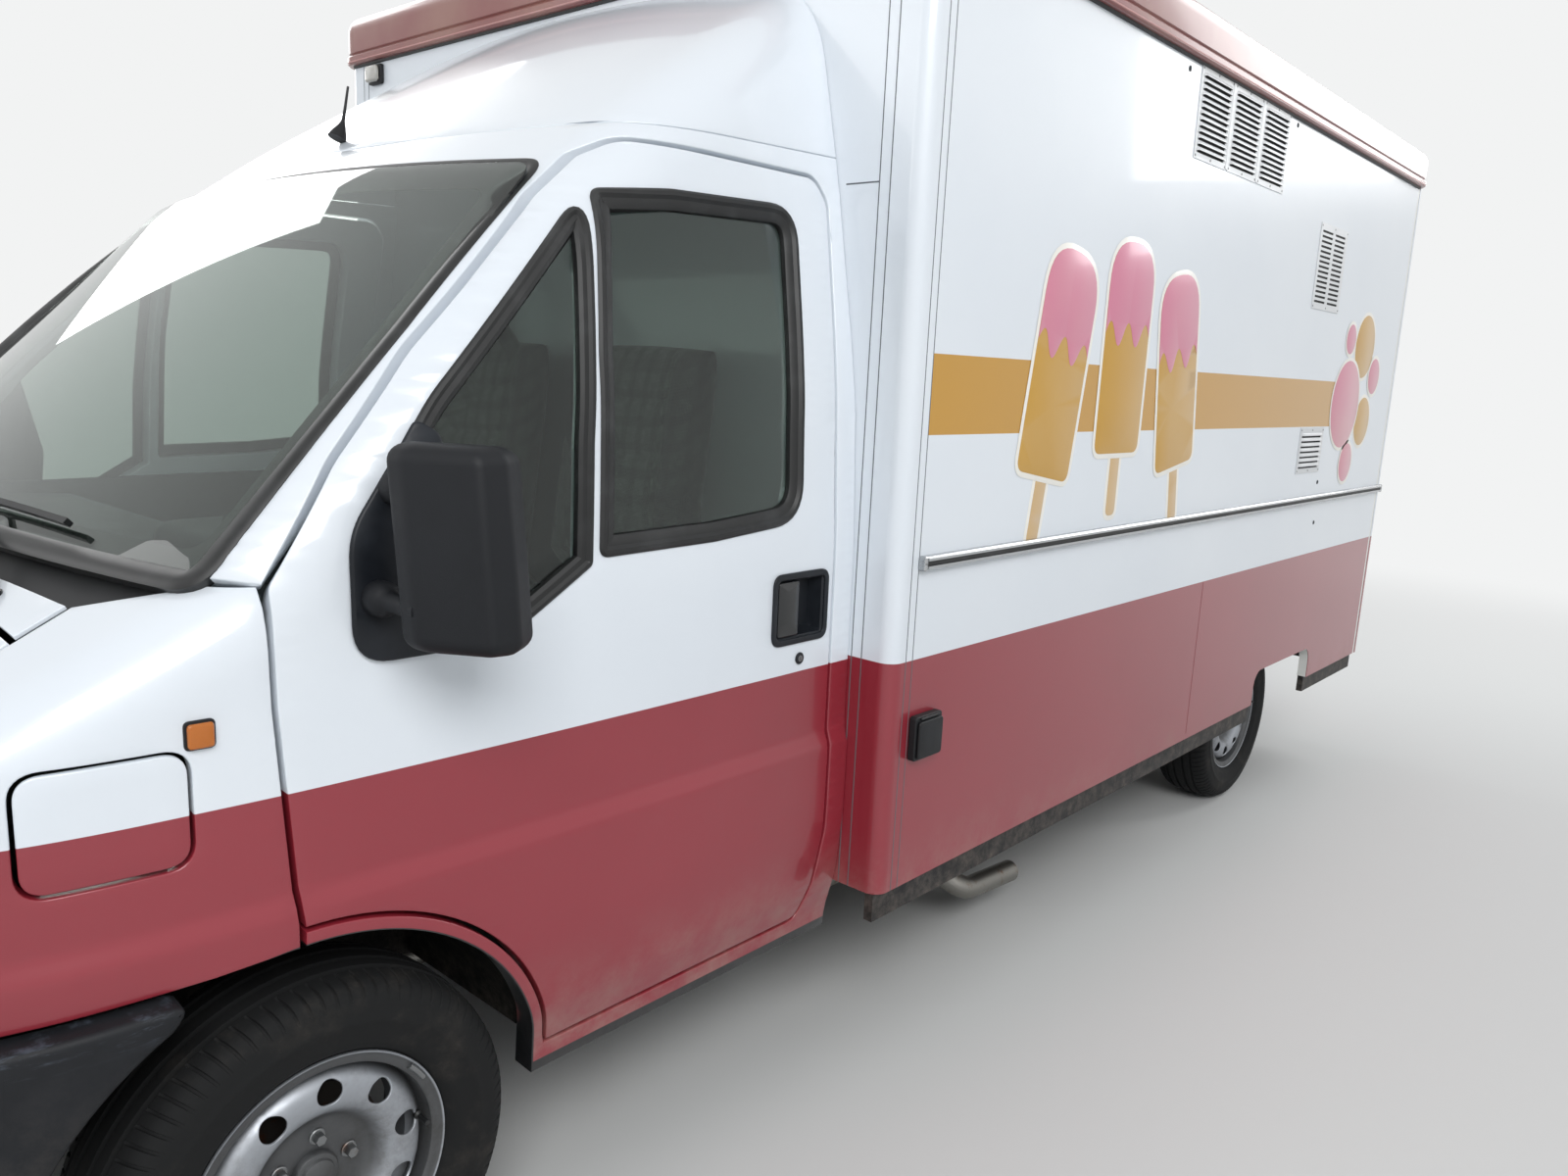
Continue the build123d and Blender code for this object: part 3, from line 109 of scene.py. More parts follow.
# Panels: name, place, the point they face, width, height, watts
light_panels = (
    ("key", (4.5, 6.0, 5.5), (0.6, 0.6, 1.0), 5.0, 3.0, 430.0),
    ("fill", (6.5, -3.5, 3.2), (1.5, 0.0, 1.0), 5.0, 4.0, 115.0),
    ("back", (-6.5, 2.0, 4.5), (-1.5, 0.0, 1.4), 4.0, 3.0, 160.0),
    ("side", (-1.0, -6.5, 4.5), (-0.5, 0.0, 1.2), 5.0, 3.0, 180.0),
)
for name, place, target, width, height, watts in light_panels:
    lamp = bpy.data.lights.new(name, "AREA")
    lamp.shape = "RECTANGLE"
    lamp.size, lamp.size_y, lamp.energy = width, height, watts
    lamp_object = bpy.data.objects.new(name, lamp)
    aim = (Vector(place) - Vector(target)).to_track_quat("Z", "Y").to_matrix()
    lamp_object.matrix_world = Matrix.Translation(place) @ aim.to_4x4()
    bpy.context.scene.collection.objects.link(lamp_object)


# Floor: a plain pale sheet that holds the truck's shadow. Far from the truck it fades to the
# background's tone, so that no horizon shows.
def material(name, colour, **sockets):
    """A node material: the Principled shader gets its colour and constants by socket name."""
    made = bpy.data.materials.new(name)
    made.use_nodes = True
    shader = made.node_tree.nodes["Principled BSDF"]
    shader.inputs["Base Color"].default_value = srgb(colour)
    for key, value in sockets.items():
        shader.inputs[key.replace("_", " ")].default_value = value
    return made


def build(name, shape, finish, slot=None, body="body", stands_for=None, crease=32, recalc=True):
    """A mesh piece from points and faces, smooth but for edges sharper than crease. It rides on a
    body and stands for a CAD node, where these are named. slot is not used."""
    points, faces = shape
    mesh = bpy.data.meshes.new(name)
    mesh.from_pydata(np.asarray(points, float).tolist(), [], [list(map(int, f)) for f in faces])
    if recalc:
        work = bmesh.new()
        work.from_mesh(mesh)
        bmesh.ops.recalc_face_normals(work, faces=work.faces)
        work.to_mesh(mesh)
        work.free()
    mesh.shade_smooth()
    mesh.set_sharp_from_angle(angle=math.radians(crease))
    mesh.materials.append(finish)
    made = bpy.data.objects.new(name, mesh)
    bpy.context.scene.collection.objects.link(made)
    if body:
        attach(made, body)
    if stands_for:
        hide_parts(stands_for)
    return made


floor_half, fade_start, fade_end = 30.0, 3.6, 9.5
floor_finish = material("pale floor", "#D2D3D2", Roughness=0.8)
floor_tree = floor_finish.node_tree
floor_place = node(floor_tree, "TexCoord", output="Object")
floor_reach = node(floor_tree, "VectorMath", {0: floor_place}, "Value", operation="LENGTH")
floor_far = node(floor_tree, "MapRange", {0: floor_reach, 1: fade_start, 2: fade_end},
                 interpolation_type="SMOOTHSTEP")
floor_fade = node(floor_tree, "Math", {0: floor_far, 1: looked_at(floor_tree)}, operation="MULTIPLY")
floor_blend = node(floor_tree, "MixShader", {0: floor_fade, 1: floor_tree.nodes["Principled BSDF"].outputs[0],
                                             2: node(floor_tree, "Emission", {"Color": backdrop})})
floor_tree.links.new(floor_blend, floor_tree.nodes["Material Output"].inputs["Surface"])
floor_corners = np.array([(-1, -1, 0), (1, -1, 0), (1, 1, 0), (-1, 1, 0)]) * floor_half
build("floor", (floor_corners, [(0, 1, 2, 3)]), floor_finish, body=None, recalc=False)


# Paint: two-tone enamel, white over dusky red, the line between them level all round the truck.
# It is a solid colour under a clear coat: soft sheen, faint orange peel, dust and splashes low down.
def cover(tree, *steps, share=1.0):
    """How far a layer covers, 0 to 1: a share times smooth steps, each a value with its start and end."""
    for value, start, end in steps:
        step = node(tree, "MapRange", {0: value, 1: start, 2: end}, interpolation_type="SMOOTHSTEP")
        share = node(tree, "Math", {0: step, 1: share}, operation="MULTIPLY")
    return share


def laid(tree, colour, tone, *steps, share=1.0):
    """A colour with a tone laid over it, as far as cover gives."""
    return node(tree, "MixRGB", {0: cover(tree, *steps, share=share), 1: colour, 2: tone})


def reach_from(tree, place, x, z):
    """How far each point lies from a line that runs level across the truck."""
    away = node(tree, "VectorMath", {0: place, 1: (x, 0.0, z)}, operation="SUBTRACT")
    level = node(tree, "VectorMath", {0: away, 1: (1.0, 0.0, 1.0)}, operation="MULTIPLY")
    return node(tree, "VectorMath", {0: level}, "Value", operation="LENGTH")


def wired(made, **sockets):
    """A material with the Principled shader's inputs, by name, linked to the given sockets."""
    shader = made.node_tree.nodes["Principled BSDF"]
    for key, value in sockets.items():
        made.node_tree.links.new(value, shader.inputs[key.replace("_", " ")])
    return made


dust_tone = srgb("#A3968A")


def enamel(name, line_z, band=None, inside=None, under=None):
    """Two-tone paint. band is a yellow stripe as heights and ends; inside is an axis and the two
    places between which the panel shows its bare white inner skin; under is a height, an arch's
    place and its radius, below and inside which black sealer covers the paint."""
    edge, sealer_edge = 0.0004, 0.001
    made = material(name, "#DEE4EA", Coat_Weight=0.6, Coat_Roughness=0.06)
    tree = made.node_tree
    place = node(tree, "TexCoord", output="Object")
    axes = node(tree, "SeparateXYZ", {0: place}).node.outputs
    clouds = node(tree, "TexNoise", {"Vector": place, "Scale": 1.7, "Detail": 4.0})
    white = node(tree, "MixRGB", {0: clouds, 1: srgb("#D6DDE5"), 2: srgb("#E4E9EE")})
    red = node(tree, "MixRGB", {0: clouds, 1: srgb("#85202D"), 2: srgb("#942F3B")})
    colour = laid(tree, red, white, (axes["Z"], line_z - edge, line_z + edge))
    if band:
        low, high, back, front = band
        colour = laid(tree, colour, srgb("#BC8804"),
                      (axes["Z"], low - edge, low + edge), (axes["Z"], high + edge, high - edge),
                      (axes["X"], back - edge, back + edge), (axes["X"], front + edge, front - edge))
    specks = node(tree, "TexNoise", {"Vector": place, "Scale": 9.0, "Detail": 9.0, "Roughness": 0.7})
    dusty = cover(tree, (axes["Z"], 0.62, 0.30), (specks, 0.35, 0.75), share=0.55)
    colour = node(tree, "MixRGB", {0: dusty, 1: colour, 2: dust_tone})
    if inside:
        axis, low, high = inside
        colour = laid(tree, colour, srgb("#DFE0DC"), (axes[axis], low, low + edge), (axes[axis], high + edge, high))
    if under:
        low, arch_x, arch_z, radius = under
        reach = reach_from(tree, place, arch_x, arch_z)
        for value, limit in ((axes["Z"], low), (reach, radius)):
            colour = laid(tree, colour, srgb("#131416"), (value, limit + sealer_edge, limit - sealer_edge))
    sheen = node(tree, "MapRange", {0: dusty, 1: 0.0, 2: 0.5, 3: 0.30, 4: 0.7})
    peel = node(tree, "TexNoise", {"Vector": place, "Scale": 160.0, "Detail": 2.0})
    bump = node(tree, "Bump", {"Height": peel, "Strength": 0.05, "Distance": 0.0004})
    return wired(made, Base_Color=colour, Roughness=sheen, Normal=bump)


# Cab shell: pressed steel skins of a van's front. All its panels are cut from one closed form, so
# their edges meet with even gaps. The form is the larger of rounded distances: the side's
# cross-section, the outline from above, the windscreen's sheet and the fairing's or bonnet's sheet.
front_axle_x = sum(corner.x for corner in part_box("rim_front_left")) / 2
cab_half_width, cab_length = 0.990, 1.180
sill_z, swage_z, waist_z = 0.394, 0.812, 1.225
arch_x, arch_z, arch_radius, arch_flange = 0.020, 0.350, 0.396, 0.021
panel_gap = 0.008
nose_x = 0.875
swage_depth = 0.011
side_blend, roof_blend, nose_blend = 0.020, 0.11, 0.10

# Cross-section without the swage: height, and how far it lies inside the half width
cab_section = np.array([(-0.006, 0.060), (sill_z, 0.040), (0.470, 0.015), (0.620, 0.001), (0.792, 0.001),
                        (waist_z, 0.003), (1.520, 0.021), (1.640, 0.039), (1.955, 0.096),
                        (2.215, 0.152), (2.400, 0.204), (2.800, 0.330)])
# Outline from above: distance ahead of the axle, and how far inside the half width
cab_plan = np.array([(-5.0, 0.0), (-0.690, 0.004), (-0.390, 0.010), (-0.150, 0.022), (0.030, 0.030),
                     (0.150, 0.040), (0.270, 0.052), (0.370, 0.072), (0.600, 0.140), (0.760, 0.250),
                     (0.840, 0.410), (0.869, 0.650), (nose_x, 0.800), (nose_x, cab_half_width)])
screen_foot, screen_head = np.array((0.240, 1.270)), np.array((-0.410, 1.925))
fairing_head = np.array((-cab_length, 2.415))
bonnet_foot, bonnet_head = np.array((0.780, 0.955)), np.array((0.240, 1.250))
screen_crown, fairing_crown, bonnet_crown = 5.5, 6.0, 9.0

section_z = np.arange(-0.1, 2.8, 0.005)
window = np.hanning(27) / np.hanning(27).sum()
section_inset = np.convolve(np.interp(np.pad(section_z, 13, mode="reflect", reflect_type="odd"),
                                      *cab_section.T), window, "valid")
plan_curve = np.column_stack((cab_plan[:, 0], cab_half_width - cab_plan[:, 1]))
for _ in range(3):
    cuts = np.hstack((plan_curve[:-1] * 0.75 + plan_curve[1:] * 0.25, plan_curve[:-1] * 0.25 + plan_curve[1:] * 0.75))
    plan_curve = np.vstack((plan_curve[:1], cuts.reshape(-1, 2), plan_curve[-1:]))
plan_centre = -0.30
plan_angle = np.arctan2(plan_curve[:, 1], plan_curve[:, 0] - plan_centre)[::-1]
plan_reach = np.hypot(plan_curve[:, 1], plan_curve[:, 0] - plan_centre)[::-1]


def smooth_max(a, b, blend):
    """The larger of two distances, rounded where they differ by less than blend."""
    near = np.clip(1 - np.abs(a - b) / blend, 0, 1)
    return np.maximum(a, b) + near**2 * blend / 4


def smooth_step(t):
    """0 up to 0, 1 from 1 on, and 3 t^2 - 2 t^3 between."""
    t = np.clip(t, 0, 1)
    return t**2 * (3 - 2 * t)


def plan_distance(p):
    """How far points lie outside the outline from above, along rays from its centre."""
    along = p[:, 0] - front_axle_x - plan_centre
    angle = np.arctan2(np.abs(p[:, 1]), along)
    return np.hypot(p[:, 1], along) - np.interp(angle, plan_angle, plan_reach)


def side_distance(p):
    """How far points lie outside the side form: half width at their height, outline from above, and
    below the swage line a fuller side, which fades out towards the nose."""
    below = smooth_step((swage_z + 0.020 - p[:, 2]) / 0.040)
    behind = smooth_step((front_axle_x + 0.65 - p[:, 0]) / 0.35)
    wide = np.abs(p[:, 1]) - cab_half_width + np.interp(p[:, 2], section_z, section_inset) + swage_depth
    return smooth_max(wide, plan_distance(p), side_blend) - swage_depth * below * behind


def sheet_distance(p, foot, head, crown):
    """How far points lie outside a sheet that runs straight from foot to head and is crowned across."""
    run = (head - foot) / np.linalg.norm(head - foot)
    out = (p[:, 0] - front_axle_x - foot[0]) * run[1] - (p[:, 2] - foot[1]) * run[0]
    return out + p[:, 1]**2 / (2 * crown)


def upper(p):
    """The cab above the waist: sides, windscreen and fairing, with rounded pillars and roof edges."""
    top = smooth_max(sheet_distance(p, screen_foot, screen_head, screen_crown),
                     sheet_distance(p, screen_head, fairing_head, fairing_crown), 0.10)
    return smooth_max(side_distance(p), top, roof_blend)


def nose(p):
    """The cab below the waist: sides, nose and bonnet."""
    return smooth_max(side_distance(p), sheet_distance(p, bonnet_foot, bonnet_head, bonnet_crown), nose_blend)


def outward(points, form):
    """The directions in which a form's distance grows fastest, from its differences."""
    step = 1e-4
    normals = np.column_stack([form(points + e) - form(points - e) for e in np.eye(3) * step])
    return normals / np.linalg.norm(normals, axis=1, keepdims=True)


def cast(x, y, z, dx, dy, dz, form):
    """Where rays from inside a form leave it, found by halving: the points and their outward
    directions. Starts and directions are numbers or arrays."""
    start = np.column_stack(np.broadcast_arrays(x, y, z)).astype(float)
    along = np.column_stack(np.broadcast_arrays(dx, dy, dz)).astype(float)
    count = max(len(start), len(along))
    start, along = np.broadcast_to(start, (count, 3)), np.broadcast_to(along, (count, 3))
    along = along / np.linalg.norm(along, axis=1, keepdims=True)
    near, far = np.zeros(count), np.full(count, 3.5)
    for _ in range(34):
        middle = (near + far) / 2
        inside = form(start + along * middle[:, None]) < 0
        near, far = np.where(inside, middle, near), np.where(inside, far, middle)
    points = start + along * ((near + far) / 2)[:, None]
    return points, outward(points, form)


def on_side(xz, form):
    """Points of a form's left side, at distances ahead of the axle and heights."""
    xz = np.asarray(xz, float)
    return cast(xz[:, 0] + front_axle_x, 0, xz[:, 1], 0, 1, 0, form)


fan_x = front_axle_x - 1.60


def on_fan(flat, form=upper):
    """Points where level rays, fanned in plan from an upright line in the cab, leave a form:
    flat holds the angle from straight ahead towards the left, and the height."""
    return cast(fan_x, 0, flat[:, 1], np.cos(flat[:, 0]), np.sin(flat[:, 0]), 0, form)


def to_fan(p):
    """The angle and height that on_fan takes for given points."""
    return np.column_stack((np.arctan2(p[:, 1], p[:, 0] - fan_x), p[:, 2]))


def shifted(placed, lift):
    """A placed form moved along its own outward directions."""
    points, normals = placed
    return points + normals * np.asarray(lift).reshape(-1, 1), normals


def side_face(lift=0.0, form=upper):
    """A place function for skin_panel: the form's left side, raised by a lift."""
    return lambda xz: shifted(on_side(xz, form), lift)


def run_through(corners, step=0.025, closed=True):
    """A line through corners (x, z, radius): each corner is a rounded parabola, runs are divided evenly."""
    corners = [tuple(c) + (0.0,) * (3 - len(c)) for c in corners]
    pieces = []
    count = len(corners)
    for i, (x, z, radius) in enumerate(corners):
        here = np.array((x, z))
        before, after = np.array(corners[i - 1][:2]) - here, np.array(corners[(i + 1) % count][:2]) - here
        to_before, to_after = np.linalg.norm(before), np.linalg.norm(after)
        cut = 0
        if radius and (closed or 0 < i < count - 1):
            cos_turn = np.clip(before @ after / (to_before * to_after), -1, 1)
            cut = radius / math.tan(max(math.acos(cos_turn) / 2, 1e-3))
            cut = min(cut, 0.46 * to_before, 0.46 * to_after)
        if cut < 1e-5:
            pieces.append(here[None])
            continue
        a, b = here + before / to_before * cut, here + after / to_after * cut
        t = np.linspace(0, 1, 9)[:, None]
        pieces.append((1 - t)**2 * a + 2 * t * (1 - t) * here + t**2 * b)
    line = np.vstack(pieces)
    ends = np.vstack((line, line[:1])) if closed else line
    out = []
    for a, b in zip(ends[:-1], ends[1:]):
        parts = max(1, int(round(np.linalg.norm(b - a) / step)))
        out.append(a + (b - a) * (np.arange(parts) / parts)[:, None])
    if not closed:
        out.append(ends[-1:])
    return np.vstack(out)


def arc(centre, radius, first, last, step=0.02):
    """Points of a circular arc, angles in degrees."""
    count = max(3, int(abs(math.radians(last - first)) * radius / step))
    angle = np.radians(np.linspace(first, last, count))
    return np.column_stack((centre[0] + radius * np.cos(angle), centre[1] + radius * np.sin(angle)))


def within(points, loops):
    """Which points lie inside the outlines, by counting crossings of a ray."""
    odd = np.zeros(len(points), int)
    for loop in loops:
        a, b = loop, np.roll(loop, -1, axis=0)
        y = points[:, 1:2]
        spans = (a[:, 1] > y) != (b[:, 1] > y)
        rise = np.where(b[:, 1] == a[:, 1], 1e-12, b[:, 1] - a[:, 1])
        cross = a[:, 0] + (y - a[:, 1]) * (b[:, 0] - a[:, 0]) / rise
        odd += (spans & (points[:, 0:1] < cross)).sum(axis=1)
    return odd % 2 == 1


def filled(loops, step):
    """Triangles inside flat outlines, the first the outer one, with an even grid of points between.
    Returns the points, the triangles and each loop's point numbers."""
    edge, step = np.vstack(loops), np.array(step)
    low, high = edge.min(0), edge.max(0)
    across, up = (np.arange(low[i], high[i], step[i]) + step[i] / 2 for i in (0, 1))
    grid = np.stack(np.meshgrid(across, up), -1).reshape(-1, 2)
    grid = grid[within(grid, loops)]
    room = [np.min(np.sum(((edge - g) / step)**2, axis=1)) > 0.4 for g in grid]
    flat = np.vstack((edge, grid[np.array(room, bool)])) if len(grid) else edge
    ends = np.cumsum([0] + [len(loop) for loop in loops])
    numbers = [np.arange(a, b) for a, b in zip(ends[:-1], ends[1:])]
    edges = [(int(a), int(b)) for n in numbers for a, b in zip(n, np.roll(n, -1))]
    made = delaunay_2d_cdt((flat / step).tolist(), edges, [], 0, 1e-7)
    points = np.array([tuple(v) for v in made[0]]) * step
    triangles = np.array([f for f in made[2] if len(f) == 3])
    triangles = triangles[within(points[triangles].mean(axis=1), loops)]
    place = {source[0]: i for i, source in enumerate(made[3]) if source}
    return points, triangles, [np.array([place[int(i)] for i in n]) for n in numbers]


def skin_panel(flat_loops, place, depth, step=0.03, rim=0.0025):
    """A panel of even thickness cut from a form: its outlines filled and placed on the form, the
    same again depth further in, and a rounded rim between the two along each outline."""
    flat, triangles, loops = filled(flat_loops, np.broadcast_to(step, 2))
    top, normals = place(flat)
    centres, tally = np.zeros_like(top), np.zeros(len(top))
    for k in range(3):
        np.add.at(centres, triangles[:, k], top[triangles].mean(axis=1))
        np.add.at(tally, triangles[:, k], 1)
    centres /= np.maximum(tally, 1)[:, None]
    points = [top.copy(), top - normals * depth]
    faces = [triangles, triangles[:, ::-1] + len(top)]
    count = 2 * len(top)
    for loop in loops:
        edge, normal = top[loop], normals[loop]
        along = np.roll(edge, -1, axis=0) - np.roll(edge, 1, axis=0)
        out = np.cross(along, normal)
        out /= np.maximum(np.linalg.norm(out, axis=1, keepdims=True), 1e-9)
        out *= -np.sign(np.sum(out * (centres[loop] - edge), axis=1).sum())
        points[0][loop] = edge - rim * out
        points[1][loop] = edge - rim * out - depth * normal
        rings = [edge - rim * out + rim * math.sin(a) * out - rim * (1 - math.cos(a)) * normal
                 for a in np.radians((30, 60, 90))]
        rings.append(edge - (depth - rim) * normal)
        numbers = [loop] + [count + k * len(loop) + np.arange(len(loop)) for k in range(len(rings))]
        numbers.append(loop + len(top))
        points += rings
        count += len(loop) * len(rings)
        for a, b in zip(numbers[:-1], numbers[1:]):
            faces.append(np.column_stack((a, np.roll(a, -1), np.roll(b, -1), b)))
    points = np.vstack(points)
    faces = [face for group in faces for face in group.tolist()]
    keep = np.zeros(len(points), bool)
    keep[np.concatenate(faces)] = True
    new = np.cumsum(keep) - 1
    return points[keep], [new[face].tolist() for face in faces]


# Doors: steel skins on a frame, 60 mm thick, hung at the front edge. The lower front corner is cut
# round the wheel arch, and two panes are let in, with a narrow painted bar between them.
def pair(name, shape, finish, slot, body="body", stands_for=None, crease=32):
    """The same piece on the left and, mirrored, on the right. The name of a body or of a CAD node
    that ends in _ takes the side's word."""
    points, faces = shape
    mirrored = points * (1, -1, 1), [f[::-1] for f in faces]
    for word, placed in (("left", shape), ("right", mirrored)):
        names = [text + word if text and text.endswith("_") else text for text in (body, stands_for)]
        build(f"{name}_{word}", placed, finish, slot, *names, crease)


def rounded(points, radius):
    """Corners for run_through from points, all with one radius."""
    return [(*point, radius) for point in points]


door_wall, frame_wall = 0.060, 0.050
door_arch_radius = arch_radius + arch_flange + panel_gap
arch_end = math.degrees(math.acos(0.009 / door_arch_radius))
arch_start = 180 - math.degrees(math.asin((sill_z + 0.009 - arch_z) / door_arch_radius))
door_arch = [tuple(p) for p in arc((arch_x, arch_z), door_arch_radius, arch_end, arch_start)]
door_sides = [(-1.068, 0.403, 0.03), (-1.093, 0.479, 0.06), (-1.112, 0.604, 0.2), (-1.112, 1.500, 0.6),
              (-1.132, 1.915, 0.045), (-1.100, 1.960, 0.05), (-0.620, 1.957, 0.12), (-0.549, 1.921, 0.1),
              (-0.453, 1.842, 0.25), (-0.188, 1.584, 0.6), (-0.054, 1.427, 0.3), (0.055, 1.266, 0.03)]
door_edge = run_through(door_arch + door_sides + [(0.052, 1.100, 0.2), (0.030, 0.785)])
window_edge = run_through([(-0.496, 1.265, 0.012), (-0.760, 1.271, 0.3), (-1.004, 1.291, 0.085),
                           (-1.007, 1.480, 0.5), (-1.029, 1.892, 0.065), (-0.700, 1.878, 0.3),
                           (-0.535, 1.858, 0.02), (-0.509, 1.600, 0.5)], 0.02)
quarter_edge = run_through([(-0.513, 1.850, 0.022), (-0.194, 1.519, 0.4), (-0.062, 1.335, 0.10),
                            (-0.075, 1.160, 0.05), (-0.320, 1.160, 0.06), (-0.471, 1.252, 0.010),
                            (-0.479, 1.450, 0.3)], 0.02)
handle_low, handle_high, handle_round = np.array((-1.092, 1.040)), np.array((-0.930, 1.180)), 0.022
handle_corners = [handle_low, (handle_high[0], handle_low[1]), handle_high, (handle_low[0], handle_high[1])]
handle_edge = run_through(rounded(handle_corners, handle_round), 0.01)
cab_line_z = 0.975
cab_paint = enamel("cab enamel", cab_line_z,
                   under=(sill_z - 0.028, front_axle_x + arch_x, arch_z, arch_radius + 0.003))
door_skin = skin_panel([door_edge, window_edge, quarter_edge, handle_edge], side_face(), door_wall, (0.04, 0.010))
pair("door_skin", door_skin, cab_paint, "white_paint", "door_", "door_")


# Cab frame: pillars, header, cant rails, sills and arch flanges, one welded shell round the doors
# and the windscreen. It shows as a narrow even band of the same paint.
def grown(line, amount, closed=True):
    """A flat line moved sideways: a closed one outwards, an open one to the right of its direction."""
    if closed:
        after = np.roll(line, -1, axis=0)
        along = after - np.roll(line, 1, axis=0)
        amount = amount * np.sign(np.sum(line[:, 0] * after[:, 1] - line[:, 1] * after[:, 0]))
    else:
        along = np.gradient(line, axis=0)
    along = along / np.maximum(np.linalg.norm(along, axis=1, keepdims=True), 1e-9)
    return line + amount * np.column_stack((along[:, 1], -along[:, 0]))


def both_halves(half):
    """A closed flat loop from its left half, which starts and ends on the truck's middle plane."""
    return np.vstack((half, half[::-1][1:-1] * (-1, 1)))


def on_screen(ys):
    """Points of the windscreen's sheet, at places across and up the sheet."""
    run = (screen_head - screen_foot) / np.linalg.norm(screen_head - screen_foot)
    drop = ys[:, 0]**2 / (2 * screen_crown)
    return np.column_stack((front_axle_x + screen_foot[0] + ys[:, 1] * run[0] - drop * run[1], ys[:, 0],
                            screen_foot[1] + ys[:, 1] * run[1] + drop * run[0]))


screen_length, head_rise = 0.925, 0.035
foot_half, head_half, foot_rise, screen_corner = 0.905, 0.800, 0.070, 0.045
foot_curve = [(y, foot_rise * (y / foot_half)**2) for y in np.linspace(-0.8, 0.8, 23)]
head_curve = [(y, screen_length + head_rise * (y / head_half)**2) for y in np.linspace(0.7, -0.7, 21)]
screen_top = screen_length + head_rise
screen_edge = run_through([(-foot_half, foot_rise, screen_corner)] + foot_curve
                          + [(foot_half, foot_rise, screen_corner), (0.857, 0.560, 0.3),
                             (head_half, screen_top, screen_corner)] + head_curve
                          + [(-head_half, screen_top, screen_corner), (-0.857, 0.560, 0.3)], 0.03)
rear_edge = 0.001 - cab_length
parting_front_z, parting_back_z = 1.985, 2.012
flange_end = math.degrees(math.acos(0.010 / arch_radius))
flange_start = 180 + math.degrees(math.asin(0.005 / arch_radius))
outer_side = run_through([(-0.430, parting_front_z), (rear_edge, parting_back_z), (rear_edge, sill_z - 0.049)]
                         + [tuple(p) for p in arc((arch_x, arch_z), arch_radius, flange_start, flange_end)],
                         0.03, closed=False)
inner_side = grown(run_through(door_arch + door_sides, 0.03, closed=False), -panel_gap, closed=False)
outer_fan = to_fan(on_side(outer_side, upper)[0])
inner_fan = to_fan(on_side(inner_side, upper)[0])
frame_foot_z = waist_z + 0.053
front_line = np.column_stack((np.linspace(0, outer_fan[0, 0], 22)[:-1], np.full(21, parting_front_z)))
screen_loop = to_fan(on_screen(screen_edge[::-1]))
screen_start = int(np.argmin(np.abs(screen_loop[:, 0]) + 10 * (screen_loop[:, 1] < 1.6)))
screen_loop = np.roll(screen_loop, -screen_start, axis=0)
left_screen = screen_loop[:int(np.argmax(screen_loop[:, 1] < frame_foot_z))]
frame_loop = both_halves(np.vstack((front_line, outer_fan, inner_fan, left_screen[::-1])))
build("cab_frame_skin", skin_panel([frame_loop], on_fan, frame_wall, (0.03, 0.010)), cab_paint, "white_paint",
      stands_for="cab_frame")


# Fairing: one glass-fibre moulding over the cab, in the cab's white paint, bonded along its lower
# edge and to the box. It rises to just under the red roof trim.
fairing_wall, fairing_eye_z, parting_gap = 0.030, 1.7, 0.001
side_parting = run_through([(-0.430, parting_front_z + parting_gap), (rear_edge, parting_back_z + parting_gap)],
                           0.03, closed=False)
parting_side = on_side(side_parting, upper)[0]
parting_fan = to_fan(parting_side)
front_parting = np.column_stack((np.linspace(0, parting_fan[0, 0], 22)[:-1],
                                 np.full(21, parting_front_z + parting_gap)))
first_angle = math.atan2(parting_side[-1, 2] - fairing_eye_z, parting_side[-1, 1])
back_angles = np.linspace(first_angle, math.pi / 2, 50)[1:]
back_line = cast(front_axle_x + rear_edge, 0, fairing_eye_z, 0, np.cos(back_angles), np.sin(back_angles), upper)[0]
fairing_loop = both_halves(np.vstack((front_parting, parting_fan, to_fan(back_line))))
build("roof_fairing_skin", skin_panel([fairing_loop], on_fan, fairing_wall, (0.03, 0.018)), cab_paint, "white_paint",
      stands_for="roof_fairing")


# Wings: one pressing each side from the door to the headlamp, open over the wheel. The left one has
# the filler's opening, and its front ends above and beside the lamp.
dome = np.array((front_axle_x + 0.20, 0.20, 0.60))


def on_dome(flat):
    """Points where rays from one point in the nose leave it, by angle round and angle up."""
    level = np.cos(flat[:, 1])
    return cast(*dome, level * np.cos(flat[:, 0]), level * np.sin(flat[:, 0]), np.sin(flat[:, 1]), nose)


def to_dome(p):
    """The two angles that on_dome takes for given points."""
    d = p - dome
    return np.column_stack((np.arctan2(d[:, 1], d[:, 0]), np.arctan2(d[:, 2], np.hypot(d[:, 0], d[:, 1]))))


def from_above(x, y):
    """Points of the nose straight above places ahead of the axle and across."""
    return cast(np.asarray(x) + front_axle_x, y, 0.8, 0, 0, 1, nose)[0]


def from_ahead(y, z):
    """Points of the nose straight ahead of places across and up."""
    return cast(front_axle_x, y, z, 1, 0, 0, nose)[0]


def over_nose(y, back_x, low_z):
    """The nose's line at one place across, from a place ahead of the axle forward and down to a height."""
    angle = np.linspace(0, math.pi / 2, 60)
    line = cast(front_axle_x + back_x, y, 0.80, np.sin(angle), 0, np.cos(angle), nose)[0]
    line = line[line[:, 2] > low_z + 0.004]
    return np.vstack((line, from_ahead(y, low_z)))


